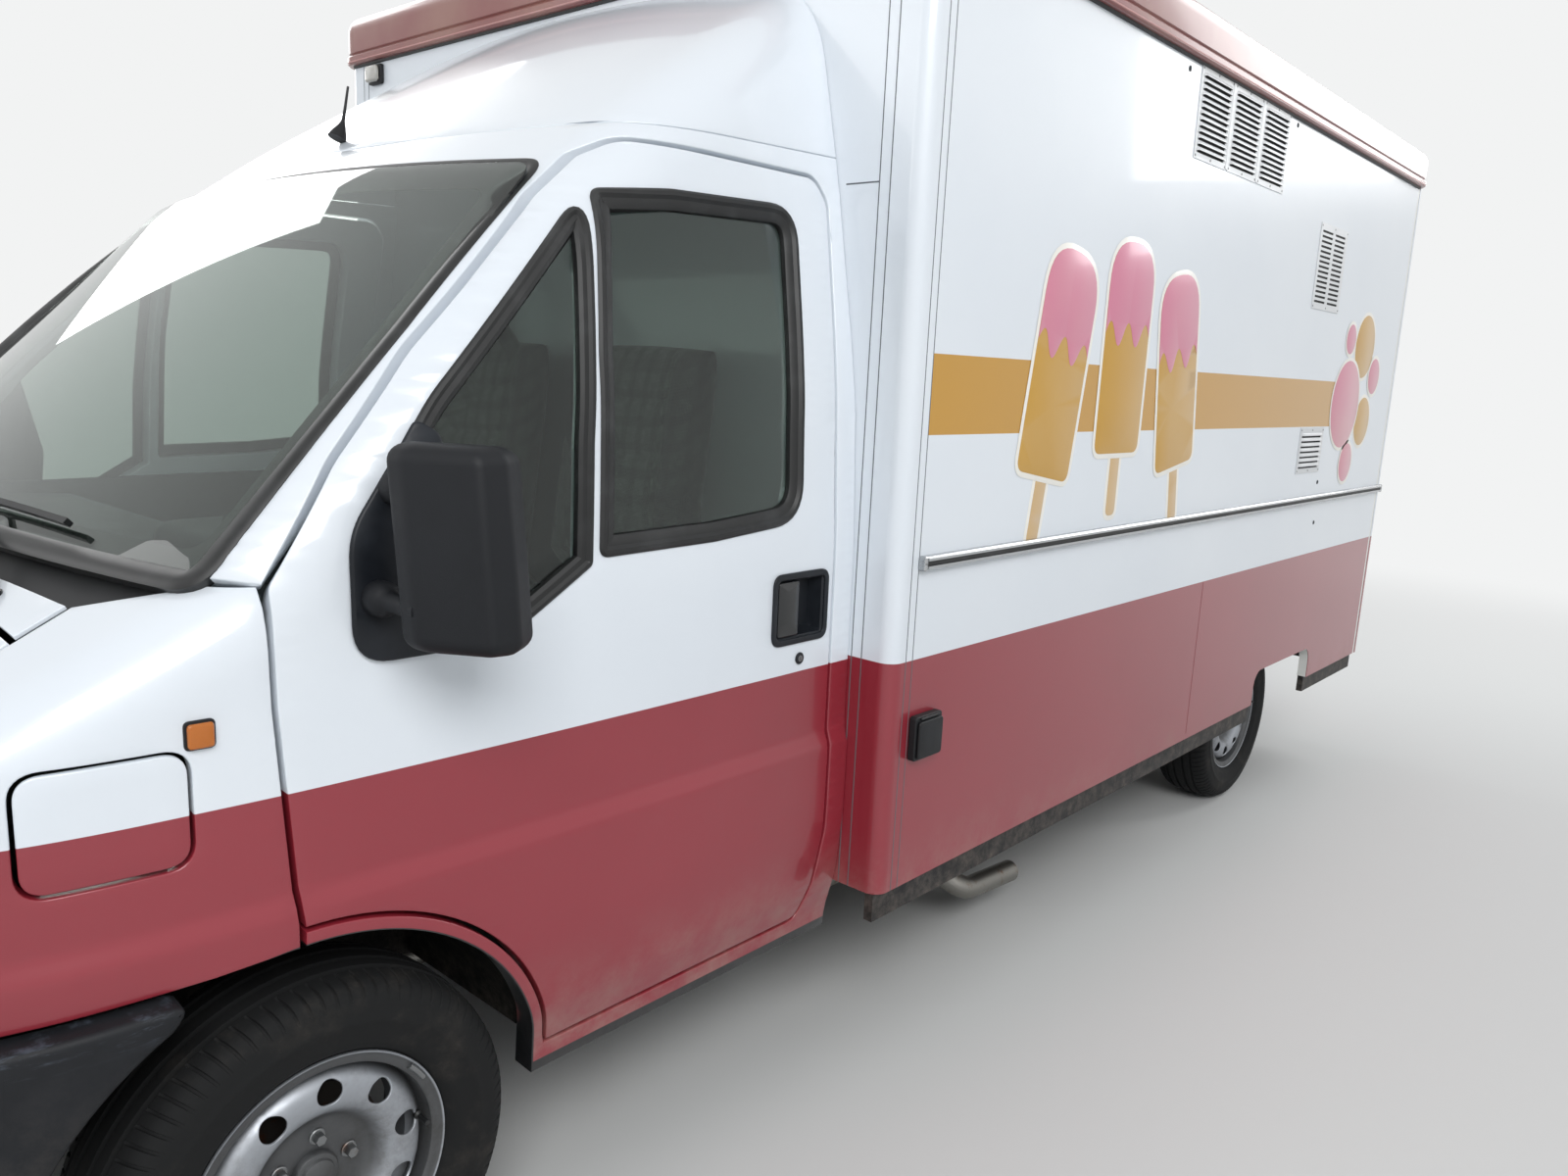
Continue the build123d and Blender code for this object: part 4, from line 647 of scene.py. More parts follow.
bonnet_half, bonnet_back, bonnet_low = 0.725, 0.300, 0.925
scuttle_half, cowl_back, cowl_side = 0.860, 0.140, 0.225
lamp_inner, lamp_outer, lamp_top = 0.452, 0.840, bonnet_low - panel_gap
wing_low, wing_top, wing_wall = 0.738, waist_z + 0.041, 0.024
wing_inner = bonnet_half + panel_gap
wing_rear = on_side(run_through([(0.038, 0.7456), (0.038, 0.782), (0.060, 1.100, 0.2), (0.063, wing_top)],
                                closed=False), nose)[0]
fan_back = to_fan(wing_rear[-1:])[0, 0]
fan_front = math.atan2(scuttle_half, front_axle_x + 0.125 - fan_x)
wing_top_line = on_fan(np.column_stack((np.linspace(fan_back, fan_front, 8)[1:-1], np.full(6, wing_top))), nose)[0]
share = np.linspace(0, 1, 9)[:-1]
beside_screen = from_above(cowl_back + (cowl_side - cowl_back) * share,
                           scuttle_half + (wing_inner - scuttle_half) * share)
beside_bonnet = over_nose(wing_inner, cowl_side, lamp_top)
over_lamp = from_ahead(np.linspace(wing_inner, lamp_outer, 6)[1:], lamp_top)
beside_lamp = from_ahead(lamp_outer, np.linspace(lamp_top, wing_low, 9)[1:])
under_run = [(beside_lamp[-1, 0] - front_axle_x - 0.02, wing_low), (0.150, wing_low + 0.002), (0.045, 0.7452)]
under_wing = on_side(run_through(under_run, closed=False), nose)[0]
wing_loop = to_dome(np.vstack((wing_rear, wing_top_line, beside_screen, beside_bonnet, over_lamp, beside_lamp,
                               under_wing)))
filler_round, filler_trim, filler_seam = 0.030, 0.0012, 0.0054
filler_corners = [(0.170, 0.909), (0.170, 1.060), (0.357, 1.060), (0.357, 0.909)]
filler_edge = run_through(rounded(filler_corners, filler_round), 0.015)
filler_hole = to_dome(on_side(grown(filler_edge, filler_trim + filler_seam), nose)[0])
left_wing = skin_panel([wing_loop, filler_hole], on_dome, wing_wall, (0.035, 0.010))
build("wing_skin_left", left_wing, cab_paint, "white_paint", stands_for="wing_left")
points, faces = skin_panel([wing_loop], on_dome, wing_wall, (0.035, 0.010))
build("wing_skin_right", (points * (1, -1, 1), [f[::-1] for f in faces]), cab_paint, "white_paint",
      stands_for="wing_right")
filler = skin_panel([grown(filler_edge, filler_trim)], side_face(0.0, nose), wing_wall / 2, 0.02)
build("filler_flap_skin", filler, cab_paint, "white_paint", "filler_flap", "filler_flap")


# Bonnet: a pressed lid, hinged at its rear edge, sloping down to the grille. Behind it a painted
# cowl panel and a black plastic trough, the scuttle, fill the space up to the windscreen's foot.
slope_tilt = math.radians(35)
slope_base = np.array((front_axle_x + 0.50, 0.0, 0.80))
slope_axis = np.array((math.cos(slope_tilt), 0.0, -math.sin(slope_tilt)))


def on_slope(flat):
    """Points where parallel rays, up and forward, leave the nose, by place across and down the slope."""
    start = slope_base + flat[:, 1:2] * slope_axis + flat[:, :1] * np.array((0, 1, 0))
    return cast(*start.T, math.sin(slope_tilt), 0, math.cos(slope_tilt), nose)


def to_slope(p):
    """The place across and down the slope that on_slope takes for given points."""
    return np.column_stack((p[:, 1], (p - slope_base) @ slope_axis))


def slope_panel(lines, lift, depth, step, rim=0.0025):
    """A panel of the nose inside lines of its points, raised by a lift."""
    return skin_panel([to_slope(np.vstack(lines))], lambda flat: shifted(on_slope(flat), lift), depth, step, rim)


across = np.linspace(-bonnet_half, bonnet_half, 49)[1:-1]
bonnet_side = over_nose(bonnet_half, bonnet_back, bonnet_low)
bonnet_lines = (from_above(bonnet_back, across), bonnet_side, from_ahead(across[::-1], bonnet_low),
                (bonnet_side * (1, -1, 1))[::-1])
build("bonnet_skin", slope_panel(bonnet_lines, 0.0, 0.024, (0.035, 0.03)), cab_paint, "white_paint",
      "bonnet", "bonnet")
cowl_half, cowl_front, trough_wider = bonnet_half - 0.004, bonnet_back - panel_gap, 1.19
cowl_reach = np.linspace(-cowl_half, cowl_half, 41)


def across_nose(reaches, places, wider=1.0):
    """A line across the nose: distances ahead of the axle, given at reaches from the middle."""
    return from_above(np.interp(np.abs(cowl_reach), reaches, places), cowl_reach * wider)


trough_rear = across_nose((0.0, 0.5, cowl_half), (0.215, 0.185, 0.135), trough_wider)
trough_ahead = across_nose((0.0, 0.35, 0.60, cowl_half), (0.285, 0.280, 0.262, 0.175), trough_wider)
build("scuttle_trough", slope_panel((trough_rear, trough_ahead[::-1]), -0.014, 0.004, (0.04, 0.03), 0.001),
      material("scuttle plastic", "#121316", Roughness=0.6), "black_plastic", stands_for="scuttle")
cowl_rear = across_nose((0.0, 0.35, cowl_half), (0.268, 0.262, cowl_side + 0.004))
cowl_ahead = across_nose((0.0, cowl_half), (cowl_front, cowl_front))
build("cowl_panel", slope_panel((cowl_rear, cowl_ahead[::-1]), 0.002, 0.008, 0.03, 0.002), cab_paint, "white_paint")


# Front bumper: one grained plastic moulding, unpainted dark grey, round the whole nose. Its ends
# follow the wheel arches and are scuffed pale along the top edge.
def grained(name, tone, worn, grain=0.0012, rough=0.55, dust=0.0, scuff=0.0, gloss=0.3):
    """Moulded plastic: two close tones in clouds, a pebbled grain of the given size, dust low on
    the truck, and pale scuffs along an edge at the height scuff. gloss sets how much it mirrors."""
    made = material(name, tone, IOR=1.49, Specular_IOR_Level=gloss)
    tree = made.node_tree
    place = node(tree, "TexCoord", output="Object")
    height = node(tree, "SeparateXYZ", {0: place}, "Z")
    clouds = node(tree, "TexNoise", {"Vector": place, "Scale": 6.0, "Detail": 7.0, "Roughness": 0.65})
    colour = laid(tree, srgb(tone), srgb(worn), (clouds, 0.35, 0.75))
    if dust:
        specks = node(tree, "TexNoise", {"Vector": place, "Scale": 24.0, "Detail": 9.0, "Roughness": 0.75})
        colour = laid(tree, colour, dust_tone, (height, 0.75, 0.20), (specks, 0.35, 0.8), share=dust)
    if scuff:
        streaks = node(tree, "Mapping", {0: place, 3: (14.0, 14.0, 90.0)})
        marks = node(tree, "TexNoise", {"Vector": streaks, "Scale": 1.0, "Detail": 6.0, "Roughness": 0.7})
        colour = laid(tree, colour, srgb("#454B55"), (height, scuff - 0.040, scuff), (marks, 0.52, 0.72))
    roughness = node(tree, "MapRange", {0: clouds, 1: 0.3, 2: 0.7, 3: rough - 0.08, 4: rough + 0.12})
    pebble = node(tree, "TexVoronoi", {"Vector": place, "Scale": 1 / grain}, "Distance")
    bump = node(tree, "Bump", {"Height": pebble, "Strength": 0.25, "Distance": grain * 0.2})
    return wired(made, Base_Color=colour, Roughness=roughness, Normal=bump)


bumper_plastic = grained("bumper plastic", "#121418", "#1C1E22", dust=0.22, scuff=0.722)
bumper_low, bumper_high, bumper_reach, bumper_wall = 0.300, wing_low - panel_gap, 0.0475, 0.058
bumper_tip, bumper_arch_x = 0.040, 0.158


def bumper_form(p):
    """How far points lie outside the bumper's face: the nose's outline from above, moved out, its
    foot drawn in."""
    lean = 0.012 * np.clip((0.42 - p[:, 2]) / 0.12, 0, 1)**2
    return smooth_max(plan_distance(p) - bumper_reach + lean, np.abs(p[:, 1]) - cab_half_width, 0.02)


def on_bumper(flat):
    """Points of the bumper's face by angle from straight ahead, about the outline's centre, and height."""
    return cast(front_axle_x + plan_centre, 0, flat[:, 1], np.cos(flat[:, 0]), np.sin(flat[:, 0]), 0, bumper_form)


bumper_arch = arc((arch_x, arch_z), arch_radius, math.degrees(math.acos(bumper_arch_x / arch_radius)), -7.2)
bumper_side = on_side(bumper_arch, bumper_form)[0]
arch_flat = np.column_stack((np.arctan2(bumper_side[:, 1], bumper_side[:, 0] - front_axle_x - plan_centre),
                             bumper_side[:, 2]))
tip = np.array((arch_flat[0, 0], bumper_high))
tip_end = int(np.argmax(np.linalg.norm((arch_flat - tip) * (1.1, 1.0), axis=1) > 0.048))
t = np.linspace(0, 1, 8)[:, None]
tip_curve = (1 - t)**2 * (tip - (bumper_tip, 0.0)) + 2 * t * (1 - t) * tip + t**2 * arch_flat[tip_end]
bumper_half = np.vstack((np.column_stack((np.linspace(0, tip_curve[0, 0], 34), np.full(34, bumper_high))),
                         tip_curve, arch_flat[tip_end + 1:],
                         np.column_stack((np.linspace(arch_flat[-1, 0], 0, 24), np.full(24, bumper_low)))))
bumper_half = bumper_half[np.append(True, np.linalg.norm(np.diff(bumper_half, axis=0), axis=1) > 1e-4)]
build("front_bumper_moulding", skin_panel([both_halves(bumper_half)], on_bumper, bumper_wall, 0.03, 0.010),
      bumper_plastic, "black_plastic", stands_for="front_bumper", crease=40)


# Windscreen: one bonded sheet of laminated glass in a wide black rubber frame, with a dark printed
# margin behind its edge.
def pane(name, tint):
    """Clear float glass a few millimetres thick, very slightly green."""
    return material(name, tint, Roughness=0.0, IOR=1.45, Transmission_Weight=1.0)


def rubber(name):
    """Extruded weather rubber: near black, dull sheen, a little grey bloom."""
    made = material(name, "#0E0F10", Roughness=0.5)
    tree = made.node_tree
    place = node(tree, "TexCoord", output="Object")
    bloom = node(tree, "TexNoise", {"Vector": place, "Scale": 14.0, "Detail": 5.0})
    return wired(made, Base_Color=laid(tree, srgb("#0E0F10"), srgb("#2A2B2C"), (bloom, 0.45, 0.8)))


def grid_faces(rows, cols, wrap_rows=False, wrap_cols=False):
    """Quads between neighbours of a grid of points numbered row by row."""
    r = np.arange(rows if wrap_rows else rows - 1)[:, None]
    c = np.arange(cols if wrap_cols else cols - 1)[None]
    below, beside = (r + 1) % rows * cols, (c + 1) % cols
    corners = (r * cols + c, r * cols + beside, below + beside, below + c)
    return np.column_stack([corner.ravel() for corner in corners]).tolist()


def two_ends(rows, cols):
    """The faces that close the first and the last row of a grid of points."""
    return [list(range(cols)), list(range((rows - 1) * cols, rows * cols))]


def bead(path, normals, profile, closed=True):
    """A profile, given as places outwards from a line and up from the skin, carried along the line.
    On a closed line its first places point away from the line's middle."""
    path, profile = np.asarray(path, float), np.asarray(profile, float)
    normals = np.broadcast_to(normals, path.shape)
    along = np.roll(path, -1, axis=0) - np.roll(path, 1, axis=0) if closed else np.gradient(path, axis=0)
    out = np.cross(along, normals)
    out /= np.maximum(np.linalg.norm(out, axis=1, keepdims=True), 1e-9)
    if closed:
        out *= np.sign(np.sum(np.cross(along, normals) * (path - path.mean(axis=0))))
    points = path[:, None] + out[:, None] * profile[None, :, :1] + normals[:, None] * profile[None, :, 1:]
    rows, cols = len(path), len(profile)
    return points.reshape(-1, 3), grid_faces(rows, cols, closed, True) + ([] if closed else two_ends(rows, cols))


def glass_sheet(flat, inset):
    """Points and outward directions of the windscreen's sheet, moved in by an inset."""
    p = on_screen(flat)
    normals = outward(p, lambda q: sheet_distance(q, screen_foot, screen_head, screen_crown))
    return p - normals * inset, normals


glass_wall, glass_inset, margin_inset = 0.005, 0.010, 0.0165
screen_middle = np.array((0.0, 0.45))
build("windscreen_pane", skin_panel([screen_edge * (0.994, 1.0)], lambda flat: glass_sheet(flat, glass_inset),
                                    glass_wall, 0.05, 0.001),
      pane("windscreen glass", "#BAC6C0"), "window_glass", stands_for="windscreen")
seal_rubber = rubber("weather rubber")
seal_profile = [(0.008, -0.004), (0.009, 0.001), (0.004, 0.004), (-0.006, 0.004), (-0.014, 0.001),
                (-0.024, -0.004), (-0.030, -0.010), (-0.030, -0.018), (0.008, -0.018)]
build("windscreen_seal", bead(*on_fan(to_fan(on_screen(screen_edge))), seal_profile), seal_rubber, "black_plastic")
margin_edges = [screen_edge * (0.985, 1.0), (screen_edge - screen_middle) * (0.925, 0.86) + screen_middle]
margin = skin_panel(margin_edges, lambda flat: glass_sheet(flat, margin_inset), 0.001, 0.05, 0.0002)
build("windscreen_margin", margin, material("printed margin", "#08090A", Roughness=0.35), "window_glass")


# Door glass: a framed pane and a fixed quarter light on each side, set in wide black rubber, which
# is narrower round the quarter light.
door_glass = pane("door glass", "#A9B5AF")
window_profile = np.array([(0.005, -0.003), (0.006, 0.002), (0.001, 0.006), (-0.006, 0.006), (-0.012, 0.001),
                           (-0.022, 0.000), (-0.029, -0.005), (-0.031, -0.012), (-0.029, -0.019),
                           (0.000, -0.019)])
for kind, edge, width, stands_for in (("window", window_edge, 1.0, "door_glass_"),
                                      ("quarter", quarter_edge, 0.8, None)):
    pair(f"{kind}_pane", skin_panel([edge], side_face(-0.012), glass_wall, 0.05, 0.001), door_glass, "window_glass",
         "door_", stands_for)
    seal = bead(*on_side(edge, upper), window_profile * (width, 1))
    pair(f"{kind}_seal", seal, seal_rubber, "black_plastic", "door_")


# Box walls: flat sandwich panels, aluminium-faced outside and in, bonded into extruded corner
# profiles. Outside they carry the same two-tone paint, with a yellow stripe along both sides.
def dressed(nodes, finish):
    """Carried-over CAD nodes in a finish of their own."""
    for piece in nodes.split():
        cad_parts[piece].data.materials.clear()
        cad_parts[piece].data.materials.append(finish)


box_line_z, skin_depth = 0.983, 0.0025
band_low, band_high, band_end = 1.463, 1.629, -2.080
box_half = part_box("corner_profiles")[1].y
box_back, box_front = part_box("box_wall_rear")[0].x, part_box("box_wall_front")[1].x
(wall_back, _, wall_low), (wall_front, _, wall_high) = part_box("box_wall_left")
bands = [(band_low, band_high, end, wall_front + 0.001) for end in (band_end, wall_back - 0.001)]
inner, everywhere = box_half - skin_depth, 9.0
profile_paint = enamel("profile enamel", box_line_z)
for nodes, name, band, inside in (
        ("box_wall_left", "left wall", bands[0], ("Y", -everywhere, inner)),
        ("box_wall_right serving_hatch", "right wall", bands[1], ("Y", -inner, everywhere)),
        ("box_wall_front", "front wall", None, ("X", -everywhere, box_front - skin_depth)),
        ("box_wall_rear rear_door", "rear wall", None, ("X", box_back + skin_depth, everywhere))):
    dressed(nodes, enamel(f"{name} enamel", box_line_z, band, inside))
dressed("corner_profiles", profile_paint)


# Roof and floor of the box: a white glass-fibre sheet above, and coated ply under foot, its grain
# stretched along the truck.
dressed("box_roof", grained("roof gelcoat", "#D6D9D9", "#CBCDCA", grain=0.004, rough=0.45, gloss=0.5))
ply = material("coated ply", "#6B5744", Roughness=0.5)
ply_tree = ply.node_tree
ply_bars = node(ply_tree, "Mapping", {0: node(ply_tree, "TexCoord", output="Object"), 3: (2.0, 24.0, 24.0)})
ply_grain = node(ply_tree, "TexNoise", {"Vector": ply_bars, "Scale": 2.0, "Detail": 8.0})
ply_tone = node(ply_tree, "MixRGB", {0: ply_grain, 1: srgb("#4F4033"), 2: srgb("#7C6852")})
dressed("box_floor", wired(ply, Base_Color=ply_tone))


# Edge profiles and seams: thin white angle down the rear corners, sealed joints along the front
# corner profiles, a joint in the side's lower panel, and rivets.
def block(low, high, chamfer=0.0015):
    """A rectangular bar from its two corners, its edges cut by a small chamfer: 24 points on 8 corners."""
    low, high = np.minimum(low, high).astype(float), np.maximum(low, high).astype(float)
    cut = min(chamfer, float((high - low).min()) * 0.3)
    signs = np.array([(a, b, c) for a in (0, 1) for b in (0, 1) for c in (0, 1)])
    corners = low + signs * (high - low)
    points = (corners[:, None] + (1 - np.eye(3))[None] * ((1 - 2 * signs) * cut)[:, None]).reshape(-1, 3)
    work = bmesh.new()
    for p in points:
        work.verts.new(p)
    bmesh.ops.convex_hull(work, input=work.verts)
    bmesh.ops.dissolve_limit(work, angle_limit=0.01, verts=work.verts, edges=work.edges)
    work.verts.index_update()
    shape = np.array([v.co[:] for v in work.verts]), [[v.index for v in f.verts] for f in work.faces]
    work.free()
    return shape


def joined(shapes):
    """Several shapes of points and faces as one."""
    starts = np.cumsum([0] + [len(points) for points, _ in shapes])
    faces = [[i + int(start) for i in face] for start, (_, group) in zip(starts, shapes) for face in group]
    return np.vstack([points for points, _ in shapes]), faces


def ring_about(out, sides):
    """Unit directions round a direction, evenly turned."""
    first = np.cross(out, (0.0, 0.0, 1.0) if abs(out[2]) < 0.8 else (1.0, 0.0, 0.0))
    first /= np.linalg.norm(first)
    angle = np.linspace(0, 2 * math.pi, sides, endpoint=False)
    return np.cos(angle)[:, None] * first + np.sin(angle)[:, None] * np.cross(out, first)


def round_heads(places, out, radius=0.005, height=0.0025):
    """Domed screw or rivet heads on places, standing along the direction out: rings of a flat dome."""
    out = np.asarray(out, float)
    steps = ((1.0, 0.0), (0.95, 0.45), (0.6, 0.85), (0.01, 1.0))
    head = np.vstack([ring_about(out, 12) * radius * a + out * height * b for a, b in steps])
    faces = grid_faces(len(steps), 12, False, True) + [list(range(12))[::-1]]
    return joined([(np.asarray(place) + head, faces) for place in places])


def metal(name, tone, rough, brushed=None, spots=None, bare=1.0):
    """Metal: brushing along an axis as stretched noise, and dull spots. bare is the metal's share,
    less than 1 where a clear or painted skin lies over it."""
    made = material(name, tone, Metallic=bare, Roughness=rough)
    tree = made.node_tree
    place = node(tree, "TexCoord", output="Object")
    if brushed:
        streaks = node(tree, "Mapping", {0: place, 3: brushed})
        streak = node(tree, "TexNoise", {"Vector": streaks, "Scale": 1.0, "Detail": 3.0})
        roughness = node(tree, "MapRange", {0: streak, 1: 0.3, 2: 0.7, 3: rough - 0.08, 4: rough + 0.12})
        wired(made, Roughness=roughness,
              Normal=node(tree, "Bump", {"Height": streak, "Strength": 0.12, "Distance": 0.0002}))
    if spots:
        patch = node(tree, "TexNoise", {"Vector": place, "Scale": 22.0, "Detail": 8.0, "Roughness": 0.7})
        wired(made, Base_Color=laid(tree, srgb(tone), srgb(spots), (patch, 0.52, 0.72)))
    return made


def bar(x, y, z, chamfer=0.0002):
    """A block from its two ends along each axis."""
    return block(*zip(x, y, z), chamfer)


angle_wide, angle_thick, seam = 0.015, 0.0015, 0.0012
rise = seam * 0.4
profile_joint, corner_joints, header_joint = 0.024, (0.985, 1.012), (0.900, 0.985, 1.958, 1.961)
panel_joint_x, panel_joint_low = -0.930, 0.480
angles, joints, lower_joints = [], [], []
for side in (-1, 1):
    y, wall = side * box_half, (wall_low, wall_high)
    skin_y, face_x = (y - side * seam, y + side * rise), (box_front - seam, box_front + rise)
    angles += [bar((box_back - angle_thick, box_back), (y - side * angle_wide, y + side * angle_thick), wall, 0.0015),
               bar((box_back, box_back + angle_wide), (y, y + side * angle_thick), wall, 0.0015)]
    joints += [bar((x - seam, x + seam), skin_y, wall) for x in (wall_front, wall_front + profile_joint)]
    joints += [bar(face_x, (side * at - seam, side * at + seam), wall) for at in corner_joints]
    joints.append(bar(face_x, (side * header_joint[0], side * header_joint[1]), header_joint[2:]))
    lower_joints.append(bar((panel_joint_x - seam, panel_joint_x + seam), skin_y, (panel_joint_low, box_line_z)))
build("rear_edge_profiles", joined(angles), profile_paint, "white_paint")
build("wall_seams", joined(joints), material("joint sealant", "#5E6266", Roughness=0.6), "black_plastic")
build("lower_panel_joint", joined(lower_joints), material("painted joint", "#7E3039", Roughness=0.5), "red_trim")
rivets = [(x, box_half, z) for x, z in ((-0.426, 2.400), (-1.268, 2.409), (-1.94, 1.255), (-1.96, 1.10))]
build("wall_rivets", round_heads(rivets, (0, 1, 0), 0.008, 0.003), metal("dark rivets", "#3A3D42", 0.5), "bare_steel")


# Side graphics: cut vinyl film on the left wall, in yellow, pink, tan and white. Three ice lollies
# stand over the stripe, and a cluster of plain discs closes its rear end.
def film(name, tone):
    """Cast vinyl film or paint: even colour, a soft gloss, faintly faded in clouds."""
    made = material(name, tone, Roughness=0.28, Coat_Weight=0.4, Coat_Roughness=0.1)
    tree = made.node_tree
    faded = node(tree, "TexNoise", {"Vector": node(tree, "TexCoord", output="Object"), "Scale": 2.5, "Detail": 4.0})
    pale = [c * 0.8 + 0.2 * g for c, g in zip(srgb(tone), srgb("#D8C8A8"))]
    return wired(made, Base_Color=laid(tree, srgb(tone), pale, (faded, 0.3, 0.9)))


def flat_face(origin, along, up, out):
    """A place function for skin_panel: flat places along and up from an origin, facing out."""
    origin, along, up, out = (np.asarray(v, float) for v in (origin, along, up, out))

    def place(flat):
        """Points of the plane, and its outward direction for each."""
        p = origin + flat[:, :1] * along + flat[:, 1:] * up
        return p, np.broadcast_to(out, p.shape)
    return place


# Outer faces of the box: a point on each, the direction along it, and the direction out of it
wall_faces = {"left": ((0, box_half, 0), (1, 0, 0), (0, 1, 0)), "right": ((0, -box_half, 0), (1, 0, 0), (0, -1, 0)),
              "front": ((box_front, 0, 0), (0, 1, 0), (1, 0, 0)), "rear": ((box_back, 0, 0), (0, 1, 0), (-1, 0, 0))}


def on_wall(which, lift):
    """A place function for one outer face of the box, raised by a lift: places along and heights."""
    point, along, out = wall_faces[which]
    return flat_face(np.array(point) + np.array(out) * lift, along, (0, 0, 1), out)


def film_sheets(outlines, lift):
    """Film cut to outlines of places along and up: closed thin sheets on the left wall."""
    return joined([skin_panel([line], on_wall("left", lift), 0.0003, 0.12, 0.00005) for line in outlines])


def round_rect(x_low, x_high, z_low, z_high, radius, step=0.02):
    """A rectangle with rounded corners."""
    return run_through(rounded([(x_low, z_low), (x_high, z_low), (x_high, z_high), (x_low, z_high)], radius), step)


def leaned(flat, x, z, degrees):
    """A flat outline turned about its origin and moved to a place."""
    a = math.radians(degrees)
    return flat @ np.array(((math.cos(a), math.sin(a)), (-math.sin(a), math.cos(a)))) + (x, z)


def disc(x, z, radius, count=64):
    """A circle's outline."""
    angle = np.linspace(0, 2 * math.pi, count, endpoint=False)
    return np.column_stack((x + radius * np.cos(angle), z + radius * np.sin(angle)))


white_film, yellow_film = film("white film", "#EDEBE4"), film("yellow film", "#BF8E14")
pink_film, stick_film = film("pink film", "#CF7893"), film("stick film", "#C9A877")
film_rim, first_lift, layer_lift = 0.013, 0.0004, 0.0004
lolly_half, lolly_low, lolly_high, lolly_round = 0.125, -0.235, 0.300, 0.124
glaze_low, glaze_wave = 0.070, 0.030
stick_half, stick_low = 0.026, -0.400
# Lollies: place along, height, lean in degrees
lollies = ((0.130, 1.590, 9.0), (-0.215, 1.640, 0.0), (-0.560, 1.590, -9.0))
lolly = run_through([(-lolly_half, lolly_low, 0.03), (lolly_half, lolly_low, 0.03),
                     (lolly_half, lolly_high, lolly_round), (-lolly_half, lolly_high, lolly_round)], 0.02)
crown = lolly[lolly[:, 1] > glaze_low + 0.06]
crown = crown[np.argsort(np.arctan2(crown[:, 1] - glaze_low, crown[:, 0]))]
wave_x = np.linspace(-lolly_half + 0.0005, lolly_half - 0.0005, 40)
wave = np.column_stack((wave_x, glaze_low + glaze_wave * np.cos(wave_x / lolly_half * 2.5 * math.pi)))
stick = round_rect(-stick_half, stick_half, stick_low, lolly_low + 0.02, 0.02)
graphics = (("lolly_stick_outlines", grown(stick, film_rim), white_film), ("lolly_sticks", stick, stick_film),
            ("lolly_outlines", grown(lolly, film_rim), white_film), ("lolly_bodies", lolly, yellow_film),
            ("lolly_glazes", np.vstack((crown, wave)), pink_film))
for level, (name, line, finish) in enumerate(graphics):
    sheets = film_sheets([leaned(line, *lolly_place) for lolly_place in lollies], first_lift + layer_lift * level)
    build(name, sheets, finish, "white_paint")
# Discs at the stripe's end: place along, height, radius, and whether it is pink
end_discs = ((-2.150, 1.546, 0.165, 1), (-2.310, 1.770, 0.120, 0), (-2.400, 1.480, 0.095, 0),
             (-2.250, 1.320, 0.075, 1), (-2.480, 1.660, 0.070, 1), (-2.120, 1.790, 0.055, 1))
for is_pink, colour, finish in ((1, "pink", pink_film), (0, "yellow", yellow_film)):
    for title, wider, tone, level in (("disc_outlines", film_rim, white_film, 0), ("discs", 0.0, finish, 1)):
        lines = [disc(x, z, radius + wider) for x, z, radius, pink in end_discs if pink == is_pink]
        lift = first_lift + layer_lift * (level + 2 * is_pink)
        build(f"{title}_{colour}", film_sheets(lines, lift), tone, "white_paint")


# Roof trim: an extruded rim, painted a like red, round the top of all four walls: a rounded
# upper bulge, a groove, and a lip that laps over the walls on a dark gasket, with a pale edge strip
# that is a painted highlight.
def roof_path(back, front, half, radius, z, count=9):
    """A level rectangle with rounded corners, at a height."""
    turn = np.linspace(0, math.pi / 2, count)
    corners = ((front - radius, half - radius), (back + radius, half - radius),
               (back + radius, -half + radius), (front - radius, -half + radius))
    return np.vstack([np.column_stack((x + radius * np.cos(turn + k * math.pi / 2),
                                       y + radius * np.sin(turn + k * math.pi / 2), np.full(count, z)))
                      for k, (x, y) in enumerate(corners)])


(_, _, trim_low), (_, trim_side, trim_high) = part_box("roof_trim")
trim_out, trim_tall = trim_side - box_half, trim_high - trim_low
roof_corner, bulge_out, bulge_in, bulge_tall, trim_wall = 0.045, 0.020, 0.030, 0.052, 0.016
roof_edge = roof_path(box_back, box_front, box_half, roof_corner, trim_low)
bulge = np.linspace(0, math.pi / 2, 9)
trim_profile = np.vstack(([(0.0, 0.0), (0.018, 0.0), (trim_out - 0.001, 0.004), (trim_out - 0.001, 0.022),
                           (0.019, 0.027), (0.015, 0.030), (0.019, 0.034)],
                          np.column_stack(((bulge_in + bulge_out) * np.cos(bulge) - bulge_in,
                                           trim_tall - bulge_tall * (1 - np.sin(bulge)))),
                          [(-0.060, trim_tall), (-0.062, trim_tall - trim_wall), (-0.034, trim_tall - trim_wall),
                           (0.0, 0.040)]))
build("roof_trim_profile", bead(roof_edge, (0, 0, 1), trim_profile), film("trim enamel", "#7A2F30"), "red_trim",
      stands_for="roof_trim", crease=28)
gasket_profile = [(0.0, -0.006), (0.006, -0.005), (0.008, 0.001), (0.0, 0.001)]
edge_profile = [(trim_out - 0.003, 0.005), (trim_out, 0.006), (trim_out, 0.009), (trim_out - 0.003, 0.010)]
build("roof_trim_gasket", bead(roof_edge, (0, 0, 1), gasket_profile), seal_rubber, "black_plastic")
# The pale strip along the lip's outer edge is a painted highlight
build("roof_trim_edge", bead(roof_edge, (0, 0, 1), edge_profile),
      grained("trim edge painted highlight", "#B98784", "#C79E9A", grain=0.004, rough=0.5), "black_plastic")


